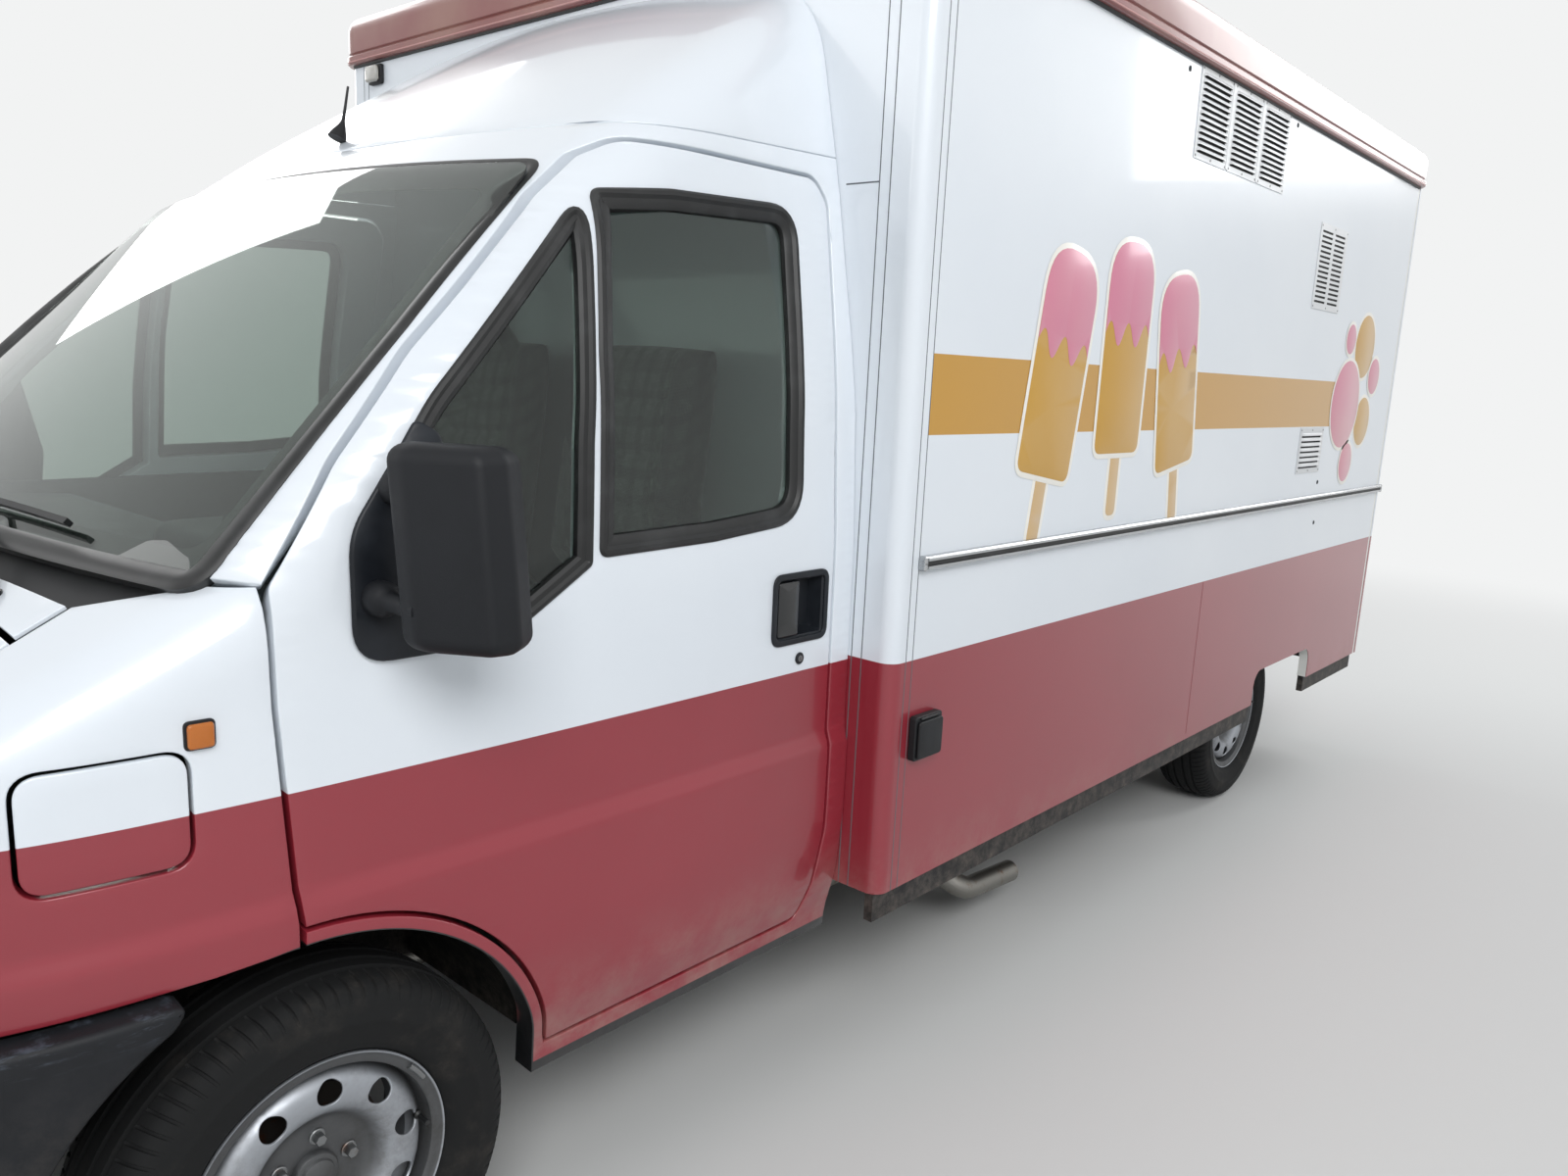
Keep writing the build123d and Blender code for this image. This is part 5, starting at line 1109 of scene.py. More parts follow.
# Vents: pressed aluminium plates screwed to the wall. Three hooded louvres stand side by side at
# the top, a plate with two columns of slots is behind them, and a small hooded one is low down.
aluminium = metal("satin aluminium", "#D3D5D7", 0.45, brushed=(6.0, 30.0, 400.0), bare=0.45)
# The slots' mouths take this black: painted shade where an open slot would be dark inside
painted_shade_black = material("vent mouth painted shade", "#0B0B0C", Roughness=0.8)
screw_metal = metal("screw heads", "#8A8C8E", 0.35)
plate_rise = 0.0025
# Hooded slot: share of the pitch, lift as a share of the hood's, and whether the next span is painted shade
hooded = ((0.02, 0.0, 1), (0.04, -0.35, 1), (0.36, -0.35, 1), (0.38, 1.0, 0), (0.52, 0.95, 0), (0.90, 0.0, 0))
slotted = ((0.25, 0.0, 1), (0.27, -0.40, 1), (0.68, -0.40, 1), (0.70, 0.0, 0))


def louvre_plate(low, high, columns, slots, edge, hood, shape):
    """A plate between two corners (x, z) on the left wall: height is a product of the slots' shape
    up the plate and of each column's width along it. Returns the shape and marks of the faces in the
    slots' mouths, which are painted black as shade."""
    wide = (high[0] - low[0] - edge * (columns + 1)) / columns
    starts = low[0] + edge + np.arange(columns) * (wide + edge)
    xs = np.concatenate(([low[0]], (starts[:, None] + (0, 0.005, wide - 0.005, wide)).ravel(), [high[0]]))
    rise = np.concatenate(([0], np.tile((0, 1, 1, 0), columns), [0]))
    pitch = (high[1] - low[1] - 2 * edge) / slots
    shares, lifts, dark = np.array(shape).T
    zs = np.concatenate(([low[1]], (low[1] + edge + pitch * (np.arange(slots)[:, None] + shares)).ravel(), [high[1]]))
    lift = np.concatenate(([0], np.tile(lifts, slots), [0])) * hood
    x, z = np.meshgrid(xs, zs, indexing="ij")
    front = np.stack((x, box_half + plate_rise + rise[:, None] * lift[None], z), axis=-1).reshape(-1, 3)
    marks = ((rise[:-1] * rise[1:])[:, None] * np.concatenate(([0], np.tile(dark, slots)))[None]).ravel()
    number = np.arange(len(front)).reshape(len(xs), len(zs))
    ring = np.concatenate((number[:-1, 0], number[-1, :-1], number[:0:-1, -1], number[0, :0:-1]))
    back = front[ring] * (1, 0, 1) + (0, box_half + 0.0002, 0)
    last = len(front) + np.arange(len(ring))
    sides = np.column_stack((ring, np.roll(ring, -1), np.roll(last, -1), last)).tolist()
    shape = np.vstack((front, back)), grid_faces(len(xs), len(zs)) + sides + [last.tolist()]
    return shape, np.concatenate((marks, np.zeros(len(ring) + 1)))


# Plates: name, ends along, ends up, columns, slots, edge, hood, kind, and the node it stands for
top_z = (2.192, 2.428)
plates = (("louvre_rear", (-1.198, -0.972), top_z, 1, 13, 0.016, 0.0055, hooded, "vents"),
          ("louvre_middle", (-0.962, -0.737), top_z, 1, 13, 0.016, 0.0055, hooded, None),
          ("louvre_front", (-0.727, -0.502), top_z, 1, 13, 0.016, 0.0055, hooded, None),
          ("slot_plate", (-1.908, -1.612), (1.872, 2.158), 2, 15, 0.018, 0.0050, slotted, None),
          ("small_louvre", (-1.928, -1.672), (1.295, 1.460), 1, 7, 0.018, 0.0055, hooded, None))
for name, xs, zs, columns, slots, edge, hood, kind, stands_for in plates:
    shape, marks = louvre_plate(*zip(xs, zs), columns, slots, edge, hood, kind)
    plate = build(name, shape, aluminium, "anodised", stands_for=stands_for)
    plate.data.materials.append(painted_shade_black)
    plate.data.polygons.foreach_set("material_index", marks.astype(np.int32))
    inset = edge / 2
    places = [(x, box_half + plate_rise, z) for z in (zs[0] + inset, zs[1] - inset)
              for x in (xs[0] + inset, sum(xs) / 2, xs[1] - inset)]
    build(f"{name}_screws", round_heads(places, (0, 1, 0), 0.0035, 0.0015), screw_metal, "bare_steel")
strip_half, strip_rise, strip_end = 0.008, 0.004, 0.002
strips = [bar((x - strip_half, x + strip_half), (box_half, box_half + strip_rise),
              (top_z[0] + strip_end, top_z[1] - strip_end), 0.001) for x in (-0.967, -0.732)]
build("louvre_joint_strips", joined(strips), aluminium, "anodised")


# Rail: a stainless extrusion along the left wall with a dark rubber in its groove and screwed ends.
# The socket box ahead of it is black moulded plastic with a hinged lid.
stainless = metal("stainless rail", "#B4B6B8", 0.24, brushed=(3.0, 200.0, 200.0))
rail_low, rail_high = (np.array(v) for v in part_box("side_rail"))
rail_z, rail_rise = (rail_low[2] + rail_high[2]) / 2, rail_high[1] - rail_low[1]
rail_half = (rail_high[2] - rail_low[2]) / 2
cap_long, groove_half, groove_floor, rubber_top = 0.012, 0.0045, 0.011, 0.0165
rail_path = [(x, box_half, rail_z) for x in (rail_low[0] + cap_long, rail_high[0] - cap_long)]
half_profile = np.array([(groove_half, groove_floor), (0.0055, rail_rise), (0.011, rail_rise),
                         (rail_half, 0.015), (rail_half, 0.0002)])
rail_profile = np.vstack((half_profile, half_profile[::-1] * (-1, 1)))
build("side_rail_profile", bead(rail_path, (0, 1, 0), rail_profile, False), stainless, "stainless",
      stands_for="side_rail")
insert = [(-0.0043, 0.0112), (-0.0043, rubber_top), (0.0043, rubber_top), (0.0043, 0.0112)]
build("side_rail_rubber", bead(rail_path, (0, 1, 0), insert, False), seal_rubber, "black_plastic")
rail_ends = ((rail_low[0], rail_low[0] + cap_long), (rail_high[0] - cap_long, rail_high[0]))
caps = [bar(ends, (box_half + 0.0002, rail_high[1] - 0.0005), (rail_low[2] - 0.001, rail_high[2] + 0.001), 0.003)
        for ends in rail_ends]
build("side_rail_caps", joined(caps), stainless, "stainless")
cap_heads = [(sum(ends) / 2, rail_high[1] - 0.002, rail_z) for ends in rail_ends]
build("side_rail_screws", round_heads(cap_heads, (0, 1, 0), 0.0045, 0.002), screw_metal, "bare_steel")
black_plastic = grained("black moulding", "#17181A", "#232528", grain=0.0015, rough=0.5)
(socket_back, _, socket_low), (socket_front, socket_out, socket_high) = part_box("socket_box")
lid_rise, lid_depth, lid_inset = socket_out - box_half, 0.008, 0.005
socket = joined([skin_panel([round_rect(socket_back, socket_front, socket_low, socket_high, 0.008)],
                            on_wall("left", lid_rise - lid_depth), lid_rise - lid_depth, 0.05, 0.003),
                 skin_panel([round_rect(socket_back + lid_inset, socket_front - lid_inset, socket_low + lid_inset,
                                        socket_high - 2 * lid_inset, 0.010)],
                            on_wall("left", lid_rise), lid_depth - 0.001, 0.05, 0.003),
                 bar((socket_back + 0.015, socket_front - 0.015), (box_half + 0.012, box_half + 0.025),
                     (socket_high - 0.008, socket_high - 0.002), 0.003)])
build("socket_box_shell", socket, black_plastic, "black_plastic", stands_for="socket_box")


# Serving side: the hatch and the counter below it are sandwich panels in aluminium edge strips. The
# hatch shuts on a rubber and has two latches; the counter is topped with brushed stainless sheet.
hatch_x, hatch_z = np.array((-1.950, 0.110)), np.array((1.270, 2.170))
hatch_gap, strip_thick, strip_wide = 0.008, 0.0015, 0.022
both_ways = np.array((-1, 1))


def hatch_strip(name, larger, body):
    """A flat aluminium strip of even width, round a rectangle that is larger than the hatch."""
    lines = [round_rect(*(hatch_x + both_ways * wider), *(hatch_z + both_ways * wider), radius, 0.05)
             for wider, radius in ((larger, 0.012), (larger - strip_wide, 0.006))]
    build(name, skin_panel(lines, on_wall("right", strip_thick), strip_thick - 0.0002, 0.08, 0.0006), aluminium,
          "anodised", body)


hatch_strip("hatch_edge_strip", -0.001, "serving_hatch")
hatch_strip("hatch_frame_strip", hatch_gap + strip_wide, "body")
seal_line = round_rect(*(hatch_x + both_ways * hatch_gap), *(hatch_z + both_ways * hatch_gap), 0.012, 0.2)
seal_line = np.column_stack((seal_line[:, 0], np.full(len(seal_line), -box_half), seal_line[:, 1]))
lip = [(-0.0045, -0.012), (-0.0045, -0.003), (-0.001, 0.0005), (0.0, -0.012)]
build("hatch_seal", bead(seal_line, (0, -1, 0), lip), seal_rubber, "black_plastic")
latch_z = 1.350
for x, name in ((-1.45, "rear"), (-0.39, "front")):
    latch = joined([skin_panel([round_rect(x - 0.055, x + 0.055, latch_z - 0.035, latch_z + 0.035, 0.012)],
                               on_wall("right", 0.004), 0.0035, 0.05, 0.001),
                    bar((x - 0.012, x + 0.012), (-box_half - 0.014, -box_half - 0.003),
                        (latch_z - 0.012, latch_z + 0.012), 0.002),
                    bar((x - 0.045, x + 0.045), (-box_half - 0.020, -box_half - 0.012),
                        (latch_z - 0.009, latch_z + 0.009), 0.003)])
    build(f"hatch_latch_{name}", latch, black_plastic, "black_plastic", "serving_hatch")
dressed("counter_flap", metal("counter sheet", "#A8AAAC", 0.30, brushed=(3.0, 180.0, 180.0)))


# Door handles: a black moulded tray let into each door, with a glossy paddle over its front half,
# and a round lock below with a metal key plate.
def tray(xz):
    """The handle's tray: as deep as a smooth step from its edge, on the door's form."""
    room = np.minimum(xz - handle_low, handle_high - xz).min(axis=1)
    return shifted(on_side(xz, upper), 0.001 - 0.034 * smooth_step((room - 0.010) / 0.012))


handle_plastic = grained("handle plastic", "#14171C", "#20242A", grain=0.001, rough=0.38)
outwards = ((-1, -1), (1, -1), (1, 1), (-1, 1))
handle_rim = [run_through([(x + sx * wider, z + sz * wider, handle_round + wider)
                           for (x, z), (sx, sz) in zip(handle_corners, outwards)], 0.01)
              for wider in (0.004, -0.009)]
paddle_rear, paddle_inset = -1.005, 0.014
paddle = round_rect(paddle_rear, handle_high[0] - paddle_inset, handle_low[1] + paddle_inset,
                    handle_high[1] - paddle_inset, 0.006)
lock_x, lock_z = -1.015, 1.003
key_plate = [disc(lock_x, lock_z, 0.0065, 24),
             round_rect(lock_x - 0.001, lock_x + 0.001, lock_z - 0.004, lock_z + 0.004, 0.0008, 0.004)]
# Handle's pieces: name, outlines, lift or place, depth, step, rim, finish, slot
paddle_gloss = material("paddle gloss", "#0A0C0F", Roughness=0.16, Coat_Weight=0.5)
for name, lines, place, depth, step, rim, finish, slot in (
        ("handle_tray", [handle_edge * 0.999 + (-0.001, 0.001)], tray, 0.003, 0.005, 0.001, handle_plastic,
         "black_plastic"),
        ("handle_frame", handle_rim, side_face(0.0045), 0.006, 0.02, 0.002, handle_plastic, "black_plastic"),
        ("handle_paddle", [paddle], side_face(0.002), 0.010, 0.02, 0.0025, paddle_gloss, "black_plastic"),
        ("door_lock", [disc(lock_x, lock_z, 0.0125, 32)], side_face(0.004), 0.005, 0.02, 0.002, handle_plastic,
         "black_plastic"),
        ("lock_plate", key_plate, side_face(0.0048), 0.001, 0.01, 0.0002, screw_metal, "bare_steel")):
    pair(name, skin_panel(lines, place, depth, step, rim), finish, slot, "door_")


# Mirrors: a grained black case, creased on its outer side, on two arms from a base plate that
# covers the front corner of the quarter light. The case leans a little and holds silvered glass.
def case(outline, height, radius, count=8):
    """An upright case: its level outline, drawn in towards both ends along quarter circles."""
    angle = np.linspace(0, math.pi / 2, count)
    up, inward = radius * (1 - np.cos(angle)), radius * (1 - np.sin(angle))
    z, inset = np.concatenate((up, (height - up)[::-1])), np.concatenate((inward, inward[::-1]))
    low, high = outline.min(axis=0), outline.max(axis=0)
    middle, size = (low + high) / 2, high - low
    flat = middle + (outline - middle)[None] * (1 - 2 * inset[:, None, None] / size)
    rows, cols = len(z), len(outline)
    points = np.concatenate((flat, np.broadcast_to(z[:, None, None], (rows, cols, 1))), axis=2).reshape(-1, 3)
    return points, grid_faces(rows, cols, False, True) + two_ends(rows, cols)


def tube(path, radii, sides=16):
    """A round tube through points, its radius given at each, with closed ends."""
    path, radii = np.asarray(path, float), np.broadcast_to(radii, len(path))
    along = np.gradient(path, axis=0)
    along /= np.linalg.norm(along, axis=1, keepdims=True)
    first = np.cross(along, (0.0, 0.0, 1.0) if abs(along[0, 2]) < 0.8 else (0.0, 1.0, 0.0))
    first /= np.linalg.norm(first, axis=1, keepdims=True)
    angle = np.linspace(0, 2 * math.pi, sides, endpoint=False)
    ring = np.cos(angle)[:, None] * first[:, None] + np.sin(angle)[:, None] * np.cross(along, first)[:, None]
    points = (path[:, None] + ring * radii[:, None, None]).reshape(-1, 3)
    return points, grid_faces(len(path), sides, False, True) + two_ends(len(path), sides)


mirror_turn = math.radians(34.0)
mirror_foot = np.array((front_axle_x - 0.062, 1.068, 1.180))
mirror_width, mirror_depth, mirror_height, mirror_round = 0.165, 0.086, 0.285, 0.026
mirror_across = np.array((-math.sin(mirror_turn), math.cos(mirror_turn), 0.0))
mirror_back = np.array((-math.cos(mirror_turn), -math.sin(mirror_turn), 0.0))
mirror_up = np.array((0.012 / mirror_height, -0.020 / mirror_height, 1.0))
crease = 0.85 * mirror_width
case_line = run_through([(0.0, 0.016, 0.020), (0.030, 0.0, 0.040), (crease, 0.0, 0.020), (mirror_width, 0.036, 0.020),
                         (mirror_width, mirror_depth, 0.008), (0.0, mirror_depth, 0.008)], 0.008)
case_points, case_faces = case(case_line, mirror_height, mirror_round)
case_placed = case_points @ np.array((mirror_across, mirror_back, mirror_up)) + mirror_foot
mirror_plastic = grained("mirror plastic", "#121418", "#191B1F", grain=0.0016, rough=0.58)
arms = [tube([(x, y, z) for y in (0.970, 0.996, 1.004, 1.012, 1.085)], (0.026, 0.026, 0.020, 0.014, 0.014))
        for x, z in ((front_axle_x - 0.088, 1.240), (front_axle_x - 0.120, 1.395))]
pair("mirror_case", joined([(case_placed, case_faces)] + arms), mirror_plastic, "black_plastic", "door_", "mirror_",
     crease=40)
glass_line = round_rect(0.014, mirror_width - 0.014, 0.020, mirror_height - 0.020, 0.022)
mirror_face = flat_face(mirror_foot + mirror_back * (mirror_depth + 0.0008), mirror_across, mirror_up, mirror_back)
pair("mirror_glass", skin_panel([glass_line], mirror_face, 0.0007, 0.05, 0.0002),
     material("silvered glass", "#C9CDD0", Metallic=1.0, Roughness=0.02), "window_glass", "door_")
plate_line = run_through([(-0.050, 1.330, 0.12), (-0.164, 1.488, 0.012), (-0.196, 1.470, 0.02), (-0.240, 1.280, 0.06),
                          (-0.225, 1.144, 0.04), (-0.052, 1.144, 0.060)], 0.015)
pair("mirror_base", skin_panel([plate_line], side_face(0.011), 0.010, 0.03, 0.005), handle_plastic, "black_plastic",
     "door_")


# Lamps: headlamps of fluted glass over a bright pressed reflector with an amber end, small amber
# repeaters on the wings, and moulded clusters and markers on the box.
def lens(name, tone, clear=0.35, pitch=0.006):
    """Moulded acrylic lens: coloured, glossy, ribbed inside at an even pitch."""
    made = material(name, tone, Roughness=0.12, IOR=1.49, Transmission_Weight=clear, Coat_Weight=0.4)
    tree = made.node_tree
    place = node(tree, "TexCoord", output="Object")
    ribs = node(tree, "TexWave", {"Vector": place, "Scale": 0.314 / pitch}, "Fac", bands_direction="Y")
    return wired(made, Normal=node(tree, "Bump", {"Height": ribs, "Strength": 0.5, "Distance": 0.001}))


def ahead(flat, back=0.0):
    """The nose's face by place across and height, moved straight back."""
    points, normals = cast(front_axle_x, flat[:, 0], flat[:, 1], 1, 0, 0, nose)
    return points - np.broadcast_to(back, len(points))[:, None] * (1, 0, 0), normals


# Reflector bowls: middle across, half width, half height, depth
bowls = ((0.560, 0.092, 0.074, 0.055), (0.712, 0.056, 0.070, 0.040))
lamp_middle_z = (lamp_top + wing_low) / 2


def bowl(flat):
    """The reflector: a flat rim with elliptical bowls pressed into it."""
    deep = np.full(len(flat), 0.014)
    for y, half_wide, half_high, depth in bowls:
        reach = ((flat[:, 0] - y) / half_wide)**2 + ((flat[:, 1] - lamp_middle_z) / half_high)**2
        deep += depth * np.sqrt(np.clip(1 - reach, 0, 1))
    return ahead(flat, deep)


lamp_low, lamp_split = wing_low + 0.004, 0.772
amber, red_lens = lens("amber lens", "#D9791A"), lens("red lens", "#A81512")
clear_lens, white_lens = lens("clear lens", "#E4E8EA", 0.9, 0.008), lens("white lens", "#D6D4CC", 0.5)
reflector_line = round_rect(lamp_inner + 0.006, lamp_outer - 0.010, lamp_low + 0.002, lamp_top - 0.006, 0.012)
pair("headlamp_reflector", skin_panel([reflector_line], bowl, 0.003, 0.010, 0.001),
     material("reflector", "#D8DBDD", Metallic=1.0, Roughness=0.09), "lamp_plastic")
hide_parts("lamps")
head_line = run_through([(lamp_inner + 0.003, lamp_low, 0.015), (lamp_split, lamp_low, 0.003),
                         (lamp_split, lamp_top - 0.004, 0.003), (lamp_inner + 0.003, lamp_top - 0.004, 0.012)], 0.02)
end_line = run_through([(lamp_split + 0.003, lamp_low, 0.003), (lamp_outer - 0.006, lamp_low + 0.006, 0.02),
                        (lamp_outer - 0.006, lamp_top - 0.004, 0.010), (lamp_split + 0.003, lamp_top - 0.004, 0.003)],
                       0.02)
housing_line = run_through([(lamp_inner + 0.002, lamp_low - 0.002, 0.012),
                            (lamp_outer - 0.004, lamp_low + 0.002, 0.020),
                            (lamp_outer - 0.004, lamp_top - 0.002, 0.010),
                            (lamp_inner + 0.002, lamp_top - 0.002, 0.012)], 0.02)
pair("headlamp_lens", skin_panel([head_line], ahead, 0.004, 0.02, 0.0015), clear_lens, "lamp_plastic")
pair("headlamp_end", skin_panel([end_line], ahead, 0.004, 0.02, 0.0015), amber, "lamp_plastic")
pair("headlamp_housing", skin_panel([housing_line], lambda flat: ahead(flat, 0.075), 0.003, 0.03, 0.001),
     black_plastic, "lamp_plastic")
repeater_base = round_rect(0.133, 0.172, 1.063, 1.103, 0.008, 0.01)
repeater = round_rect(0.136, 0.169, 1.066, 1.100, 0.006, 0.01)
pair("repeater_base", skin_panel([repeater_base], side_face(0.003, nose), 0.004, 0.02, 0.001), black_plastic,
     "black_plastic")
pair("repeater_lens", skin_panel([repeater], side_face(0.011, nose), 0.009, 0.02, 0.004), amber, "lamp_plastic")
tail_inner, tail_outer, tail_low, tail_high = 0.895, 1.015, 0.560, 0.890
tail_base, tail_rise, tail_tall = 0.018, 0.029, tail_high - tail_low
pair("tail_lamp_base", skin_panel([round_rect(tail_inner, tail_outer, tail_low, tail_high, 0.010)],
                                  on_wall("rear", tail_base), tail_base - 0.0003, 0.1, 0.002), black_plastic,
     "lamp_plastic")
# Lenses of the cluster: name, share of its height at the bottom and top, finish
for name, low, high, finish in (("reflector", 0.02, 0.22, red_lens), ("reverse", 0.24, 0.44, white_lens),
                                ("stop", 0.46, 0.74, red_lens), ("turn", 0.76, 0.98, amber)):
    line = round_rect(tail_inner + 0.006, tail_outer - 0.006, tail_low + low * tail_tall, tail_low + high * tail_tall,
                      0.005)
    pair(f"tail_lamp_{name}", skin_panel([line], on_wall("rear", tail_rise), tail_rise - tail_base, 0.05, 0.004),
         finish, "lamp_plastic")
# Marker lamps: where, inner and outer place across, heights, finish
marker_base, marker_rise, marker_inset = 0.012, 0.029, 0.005
for which, inner, outer, low, high, finish in (("rear", 1.010, 1.085, 2.345, 2.405, red_lens),
                                               ("front", 0.895, 0.965, 2.362, 2.418, white_lens)):
    line = round_rect(inner, outer, low, high, 0.008)
    shape = skin_panel([line], on_wall(which, marker_base), marker_base - 0.0002, 0.1, 0.002)
    pair(f"{which}_marker_base", shape, black_plastic, "lamp_plastic")
    line = round_rect(inner + marker_inset, outer - marker_inset, low + marker_inset, high - marker_inset, 0.010)
    shape = skin_panel([line], on_wall(which, marker_rise), marker_rise - marker_base, 0.1, 0.007)
    pair(f"{which}_marker_lens", shape, finish, "lamp_plastic")


# Number plates: blank pressed aluminium, enamelled white, held by two screws each. The rear one
# has two small lamps over it.
plate_white = grained("plate enamel", "#DEDFDB", "#D2D3CE", grain=0.0008, rough=0.35)
plate_half, plate_half_tall, plate_hole = 0.260, 0.055, 0.150
rear_plate_y, rear_plate_z, lamp_apart = 0.700, 0.965, 0.12
bumper_face = front_axle_x + nose_x + bumper_reach
# Plates: where, its face, the way it faces, place across, height, screws' base and rise, thickness
for which, at, facing, y, z, screw_x, screw_rise, thick in (
        ("front", flat_face((bumper_face + 0.0018, 0, 0), (0, 1, 0), (0, 0, 1), (1, 0, 0)), 1, 0.0, 0.560,
         bumper_face + 0.0016, 0.0008, 0.0015),
        ("rear", on_wall("rear", 0.003), -1, rear_plate_y, rear_plate_z, box_back - 0.0028, 0.001, 0.0028)):
    line = round_rect(y - plate_half, y + plate_half, z - plate_half_tall, z + plate_half_tall, 0.010)
    build(f"number_plate_{which}", skin_panel([line], at, thick, 0.1, 0.0004), plate_white, "white_paint")
    heads = round_heads([(screw_x, y + side * plate_hole, z) for side in (-1, 1)], (facing, 0, 0), 0.005, screw_rise)
    build(f"number_plate_{which}_screws", heads, screw_metal, "bare_steel")
plate_lamps = [bar((box_back - 0.022, box_back), (y - 0.035, y + 0.035),
                   (rear_plate_z + 0.068, rear_plate_z + 0.090), 0.004)
               for y in (rear_plate_y - lamp_apart, rear_plate_y + lamp_apart)]
build("number_plate_lamps", joined(plate_lamps), black_plastic, "lamp_plastic")


# Rear door fittings: a rubber in the gap round the door, and a black pull handle on its plate. The
# rear bumper, the skirts and the nose's grille panel are black grained plastic.
(_, door_right, door_low), (_, door_left, door_high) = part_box("rear_door")
rear_gap, latch_y, latch_z = 0.008, 0.305, 1.180
rear_line = round_rect(door_right - rear_gap, door_left + rear_gap, door_low - rear_gap, door_high + rear_gap,
                       0.012, 0.2)
rear_line = np.column_stack((np.full(len(rear_line), box_back), rear_line))
build("rear_door_seal", bead(rear_line, (-1, 0, 0), lip), seal_rubber, "black_plastic")
grip_y = (latch_y - 0.012, latch_y + 0.012)
handle = joined([skin_panel([round_rect(latch_y - 0.045, latch_y + 0.045, latch_z - 0.075, latch_z + 0.075, 0.012)],
                            on_wall("rear", 0.005), 0.0045, 0.1, 0.0015),
                 bar((box_back - 0.022, box_back - 0.012), grip_y, (latch_z - 0.060, latch_z + 0.040), 0.004),
                 bar((box_back - 0.016, box_back - 0.004), grip_y, (latch_z + 0.020, latch_z + 0.040), 0.003)])
build("rear_door_handle", handle, black_plastic, "black_plastic", "rear_door")
dressed("rear_bumper skirt_strips", grained("skirt plastic", "#141517", "#222326", dust=0.45))
dressed("front_panel", grained("nose plastic", "#141518", "#222427", dust=0.2))


# Wipers: two black arms on spindles in the scuttle, each with a blade lying near the glass's foot.
# The aerial is a short raked rod on a rubber foot in the middle of the fairing's front edge.
def wiper(spindle_y, rest_y, blade_y, blade_up):
    """A blade between two places across and up the glass, and a bowed arm to it from its spindle."""
    ends = np.column_stack((np.linspace(*blade_y, 14), np.linspace(*blade_up, 14)))
    blade = bead(*glass_sheet(ends, -0.010), [(-0.004, -0.006), (0.004, -0.006), (0.005, 0.006), (-0.005, 0.006)],
                 closed=False)
    rest_up = np.interp(rest_y, blade_y[::-1], blade_up[::-1])
    rest = glass_sheet(np.array([(rest_y, rest_up)]), -0.022)[0][0]
    foot = glass_sheet(np.array([(spindle_y, -0.060)]), -0.016)[0][0]
    t = np.linspace(0, 1, 9)[:, None]
    arm = foot + (rest - foot) * t + np.array((0, 0, 0.012)) * (t * (1 - t))
    return joined([blade, tube(arm, np.linspace(0.009, 0.005, 9), 10),
                   tube([foot - (0, 0, 0.03), foot + (0, 0, 0.006)], 0.013, 14)])


wiper_black = grained("wiper black", "#101113", "#1D1E20", grain=0.002, rough=0.45)
build("wiper_left", wiper(0.560, 0.250, (0.560, -0.020), (0.080, 0.050)), wiper_black, "black_plastic")
build("wiper_right", wiper(-0.060, -0.370, (-0.060, -0.640), (0.050, 0.085)), wiper_black, "black_plastic")
aerial_x, aerial_z = front_axle_x - 0.572, 2.026
aerial_path = [(aerial_x + x, 0.0, aerial_z + z) for x, z in ((0.016, -0.004), (0.010, 0.010), (0.004, 0.024),
                                                              (0.001, 0.034), (-0.004, 0.060), (-0.012, 0.106))]
build("aerial", tube(aerial_path, (0.020, 0.015, 0.008, 0.004, 0.003, 0.0025), 14), wiper_black, "black_plastic")


# Tyres: black radial van tyres, moulded with four grooves round the tread and slanted notches
# across its shoulders. Dry dust lies on the walls and in the grooves.
def lathe(profile, centre, out, sides=32, closed=False):
    """A profile of radii and places along the direction out, turned about it; ends are filled unless closed."""
    profile, centre, out = np.asarray(profile, float), np.asarray(centre, float), np.asarray(out, float)
    ring = ring_about(out, sides)
    points = (centre + profile[:, None, 1:] * out + profile[:, None, :1] * ring[None]).reshape(-1, 3)
    faces = grid_faces(len(profile), sides, closed, True)
    return points, faces + ([] if closed else two_ends(len(profile), sides))


def tyre_rubber(name):
    """Tyre compound: near black, dull, with brown dust that thins out in clouds."""
    made = material(name, "#0C0D0E", Roughness=0.8, Specular_IOR_Level=0.3)
    tree = made.node_tree
    place = node(tree, "TexCoord", output="Object")
    clouds = node(tree, "TexNoise", {"Vector": place, "Scale": 11.0, "Detail": 8.0, "Roughness": 0.7})
    fine = node(tree, "TexNoise", {"Vector": place, "Scale": 260.0, "Detail": 3.0})
    return wired(made, Base_Color=laid(tree, srgb("#0E0F10"), srgb("#383430"), (clouds, 0.50, 0.95)),
                 Normal=node(tree, "Bump", {"Height": fine, "Strength": 0.2, "Distance": 0.0006}))


tyre_low, tyre_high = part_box("tyre_front_left")
tyre_radius, wheel_y = (tyre_high.z - tyre_low.z) / 2, (tyre_high.y + tyre_low.y) / 2
rear_axle_x = sum(corner.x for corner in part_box("tyre_rear_left")) / 2
flange_radius, rim_half, rim_wall = 0.207, 0.083, 0.009
